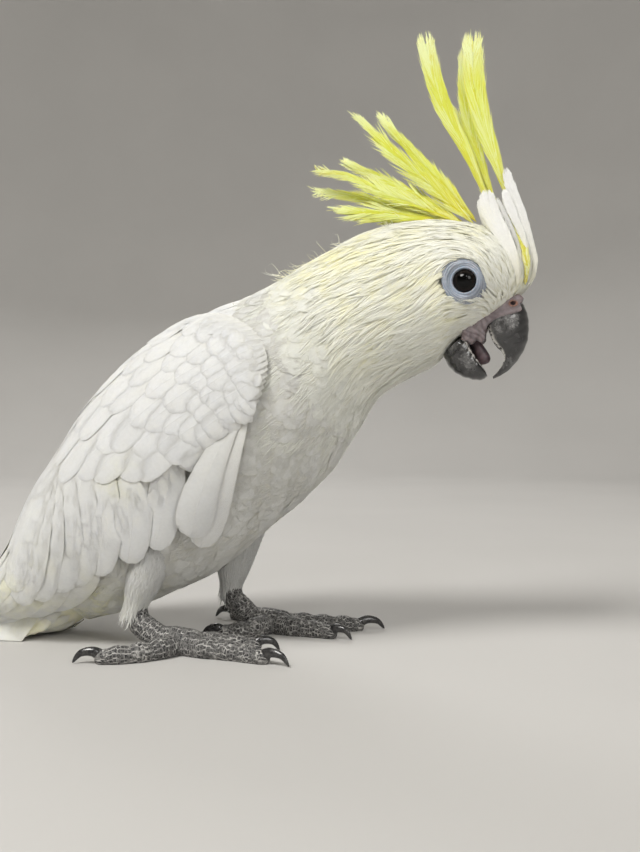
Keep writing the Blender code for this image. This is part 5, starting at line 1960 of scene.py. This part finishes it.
def makeTongue():
    material, wires, shader = newMaterial("tongueSkin", Roughness=0.42, Specular_IOR_Level=0.4,
                                          Subsurface_Weight=0.15, Subsurface_Scale=0.001)
    place = wires.place()
    cloudy = wires.ramp(wires.noise(place, 400.0), 0.3, 0.7)
    wires.feed(shader, "Base Color", wires.mix(cloudy, (0.060, 0.040, 0.046, 1), (0.14, 0.095, 0.105, 1)))
    wires.relief(shader, wires.noise(place, 900.0, 4.0), 0.4, 0.3)
    deselect()
    bpy.ops.mesh.primitive_circle_add(vertices=20, radius=tongueForm["half"] * mm, fill_type="NGON",
                                      location=(np.array(tongueForm["root"]) + shift) * mm)
    tongue = bpy.context.object
    tongue.name = "tongue_club"
    bpy.ops.object.mode_set(mode="EDIT")
    bpy.ops.mesh.select_all(action="SELECT")
    for ahead, up, wide in tongueForm["steps"]:
        bpy.ops.mesh.extrude_region_move(TRANSFORM_OT_translate={"value": (ahead * mm, 0, up * mm)})
        bpy.ops.transform.resize(value=(wide, wide, wide))
    bpy.ops.mesh.select_all(action="SELECT")
    bpy.ops.mesh.normals_make_consistent(inside=False)
    bpy.ops.object.mode_set(mode="OBJECT")
    bpy.ops.object.transform_apply(location=True, rotation=True, scale=True)
    rounding = tongue.modifiers.new("round", "SUBSURF")
    rounding.levels = rounding.render_levels = 2
    bpy.ops.object.modifier_apply(modifier=rounding.name)
    tongue.data.shade_smooth()
    settle(tongue, material, "tongue", "tongue")


makeTongue()


# The claws

claws = {
    "line": ((0, 3.1), (0.32, 5.0), (0.74, 4.2), (1.02, 0.5)),  # share of the length, height in mm
    "high": (2.75, 0.62, 0.22), "wide": (2.25, 0.7, 0.18),      # at the root, how it narrows, at the tip
    "rows": 22, "around": 20,
}


def makeClawHorn():
    material, wires, shader = newMaterial("clawHorn", Roughness=0.22, Specular_IOR_Level=0.55,
                                          Coat_Weight=0.25, Coat_Roughness=0.15)
    place = wires.place()
    streak = wires.ramp(wires.noise(place, 500.0, 3.0), 0.35, 0.7)
    pale = wires.ramp(wires.attribute("root"), 0.0, 0.12, 0.5, 0.0)
    base = wires.mix(streak, (0.012, 0.012, 0.013, 1), (0.045, 0.043, 0.042, 1))
    wires.feed(shader, "Base Color", wires.mix(pale, base, (0.30, 0.28, 0.25, 1)))
    wires.relief(shader, wires.noise(place, 700.0, 4.0), 0.2, 0.2)
    return material


def makeClaw(side, toe, material):
    spots, ahead = toePath(side, toe)
    root = np.array([spots[-1][0], spots[-1][1], 0.0]) + ahead * 0.2
    long = toes[toe][3]
    line = np.array([root + ahead * long * share + (0, 0, height) for share, height in claws["line"]])
    t = np.linspace(0, 1, claws["rows"])
    path = smoothPick(line, t * 3)
    across = unit(np.cross((0, 0, 1.0), ahead))
    up = np.cross(unit(np.gradient(path, axis=0)), across)
    turn = np.linspace(0, 2 * math.pi, claws["around"], endpoint=False)
    wide, high = (thick * (1 - t) ** power + tip for thick, power, tip in (claws["wide"], claws["high"]))
    # a rounded back and a flatter underside
    out = np.cos(turn) * (1 - 0.14 * np.sin(turn))
    rise = np.sin(turn) * np.where(np.sin(turn) < 0, 0.8, 1.0)
    rings = path[:, None] + (wide[:, None] * out)[..., None] * across
    rings = rings + (high[:, None] * rise)[..., None] * up[:, None]
    rings[..., 2] = np.maximum(rings[..., 2], 0.05)
    made = makeObject(f"{toe}_claw_horn_{side}", *tubeMesh(rings))
    paint(made, "root", np.append(np.repeat(t, claws["around"]), (0, 1)))
    settle(made, material, "claw", f"{toe}_claw_{side}")


clawHorn = makeClawHorn()
for side in legs:
    for toe in toes:
        makeClaw(side, toe, clawHorn)
print("bare parts done")


# Floor, lamps and camera

studio = {
    "flat": 1.5, "rim": 2.7, "rise": 1.9,  # where the floor starts to rise, where it ends and how high
    "steps": 12, "floor": (0.53, 0.52, 0.505, 1),
    "lamps": (  # name, place, width, power, colour
        ("key", (-0.55, -1.15, 1.75), 0.9, 46.0, (1.0, 0.985, 0.95)),
        ("front", (1.3, -1.3, 1.1), 0.9, 10.5, (1.0, 0.99, 0.96)),
        ("top", (-0.1, 0.3, 2.2), 1.8, 89.0, (1.0, 0.99, 0.965)),
        ("far side", (-0.5, 1.5, 1.3), 0.8, 11.0, (1.0, 0.99, 0.97)),
        ("spot_a", (0.30, -0.80, 0.80), 0.02, 0.3, (1, 1, 1)),
        ("spot_b", (0.36, -0.79, 0.80), 0.02, 0.3, (1, 1, 1)),
        ("spot_c", (0.42, -0.77, 0.79), 0.02, 0.25, (1, 1, 1)),
    ),
    "aim": (0.04, 0, 0.14),                # what the lamps point at
    "air": (1.0, 0.985, 0.96, 1), "airStrength": 0.65,
    "camera": (0.1359, -0.4402, 0.1012), "cameraTurn": 12, "lens": 41.335, "sensor": 36,
}


def makeFloor():
    deselect()
    flat, rim = studio["flat"], studio["rim"]
    bpy.ops.mesh.primitive_circle_add(vertices=96, radius=flat, fill_type="NGON", location=(0, 0, 0))
    floor = bpy.context.object
    floor.name = "floor"
    bpy.ops.object.mode_set(mode="EDIT")
    bpy.ops.mesh.select_mode(type="EDGE")
    bpy.ops.mesh.select_all(action="DESELECT")
    bpy.ops.mesh.select_non_manifold()
    last, height = flat, 0.0
    for k in range(1, studio["steps"] + 1):
        turn = math.radians(90 * k / studio["steps"])
        radius = flat + (rim - flat) * math.sin(turn)
        up = studio["rise"] * (1 - math.cos(turn))
        bpy.ops.mesh.extrude_region_move(TRANSFORM_OT_translate={"value": (0, 0, up - height)})
        bpy.ops.transform.resize(value=(radius / last, radius / last, 1))
        last, height = radius, up
    bpy.ops.mesh.select_all(action="SELECT")
    bpy.ops.mesh.normals_make_consistent(inside=True)
    bpy.ops.object.mode_set(mode="OBJECT")
    floor.data.shade_smooth()
    material, wires, shader = newMaterial("floorPaint", Roughness=0.85, Specular_IOR_Level=0.2)
    cloudy = wires.ramp(wires.noise(wires.place(), 3.0), 0.3, 0.7)
    darker = tuple(0.96 * c for c in studio["floor"][:3]) + (1,)
    wires.feed(shader, "Base Color", wires.mix(cloudy, studio["floor"], darker))
    floor.data.materials.append(material)


def addLamp(name, spot, size, power, colour):
    data = bpy.data.lights.new(name, "AREA")
    data.shape, data.size, data.energy, data.color = "DISK", size, power, colour
    lamp = bpy.data.objects.new(name, data)
    bpy.context.scene.collection.objects.link(lamp)
    lamp.location = spot
    lamp.rotation_euler = (Vector(studio["aim"]) - Vector(spot)).to_track_quat("-Z", "Y").to_euler()


def makeWorld():
    world = bpy.data.worlds.new("soft")
    world.use_nodes = True
    air = world.node_tree.nodes["Background"].inputs
    air["Color"].default_value = studio["air"]
    air["Strength"].default_value = studio["airStrength"]
    bpy.context.scene.world = world


def makeCamera():
    camera = bpy.data.objects.new("camera", bpy.data.cameras.new("camera"))
    bpy.context.scene.collection.objects.link(camera)
    x, y, z = studio["camera"]
    camera.location = (x + shift[0] * mm, y, z)
    camera.rotation_euler = (math.radians(90), 0, math.radians(studio["cameraTurn"]))
    lens = camera.data
    lens.lens, lens.sensor_width, lens.sensor_fit = studio["lens"], studio["sensor"], "AUTO"
    lens.clip_start = 0.01
    bpy.context.scene.camera = camera


makeFloor()
for lamp in studio["lamps"]:
    addLamp(*lamp)
makeWorld()
makeCamera()
bpy.context.scene.view_settings.view_transform = "Standard"
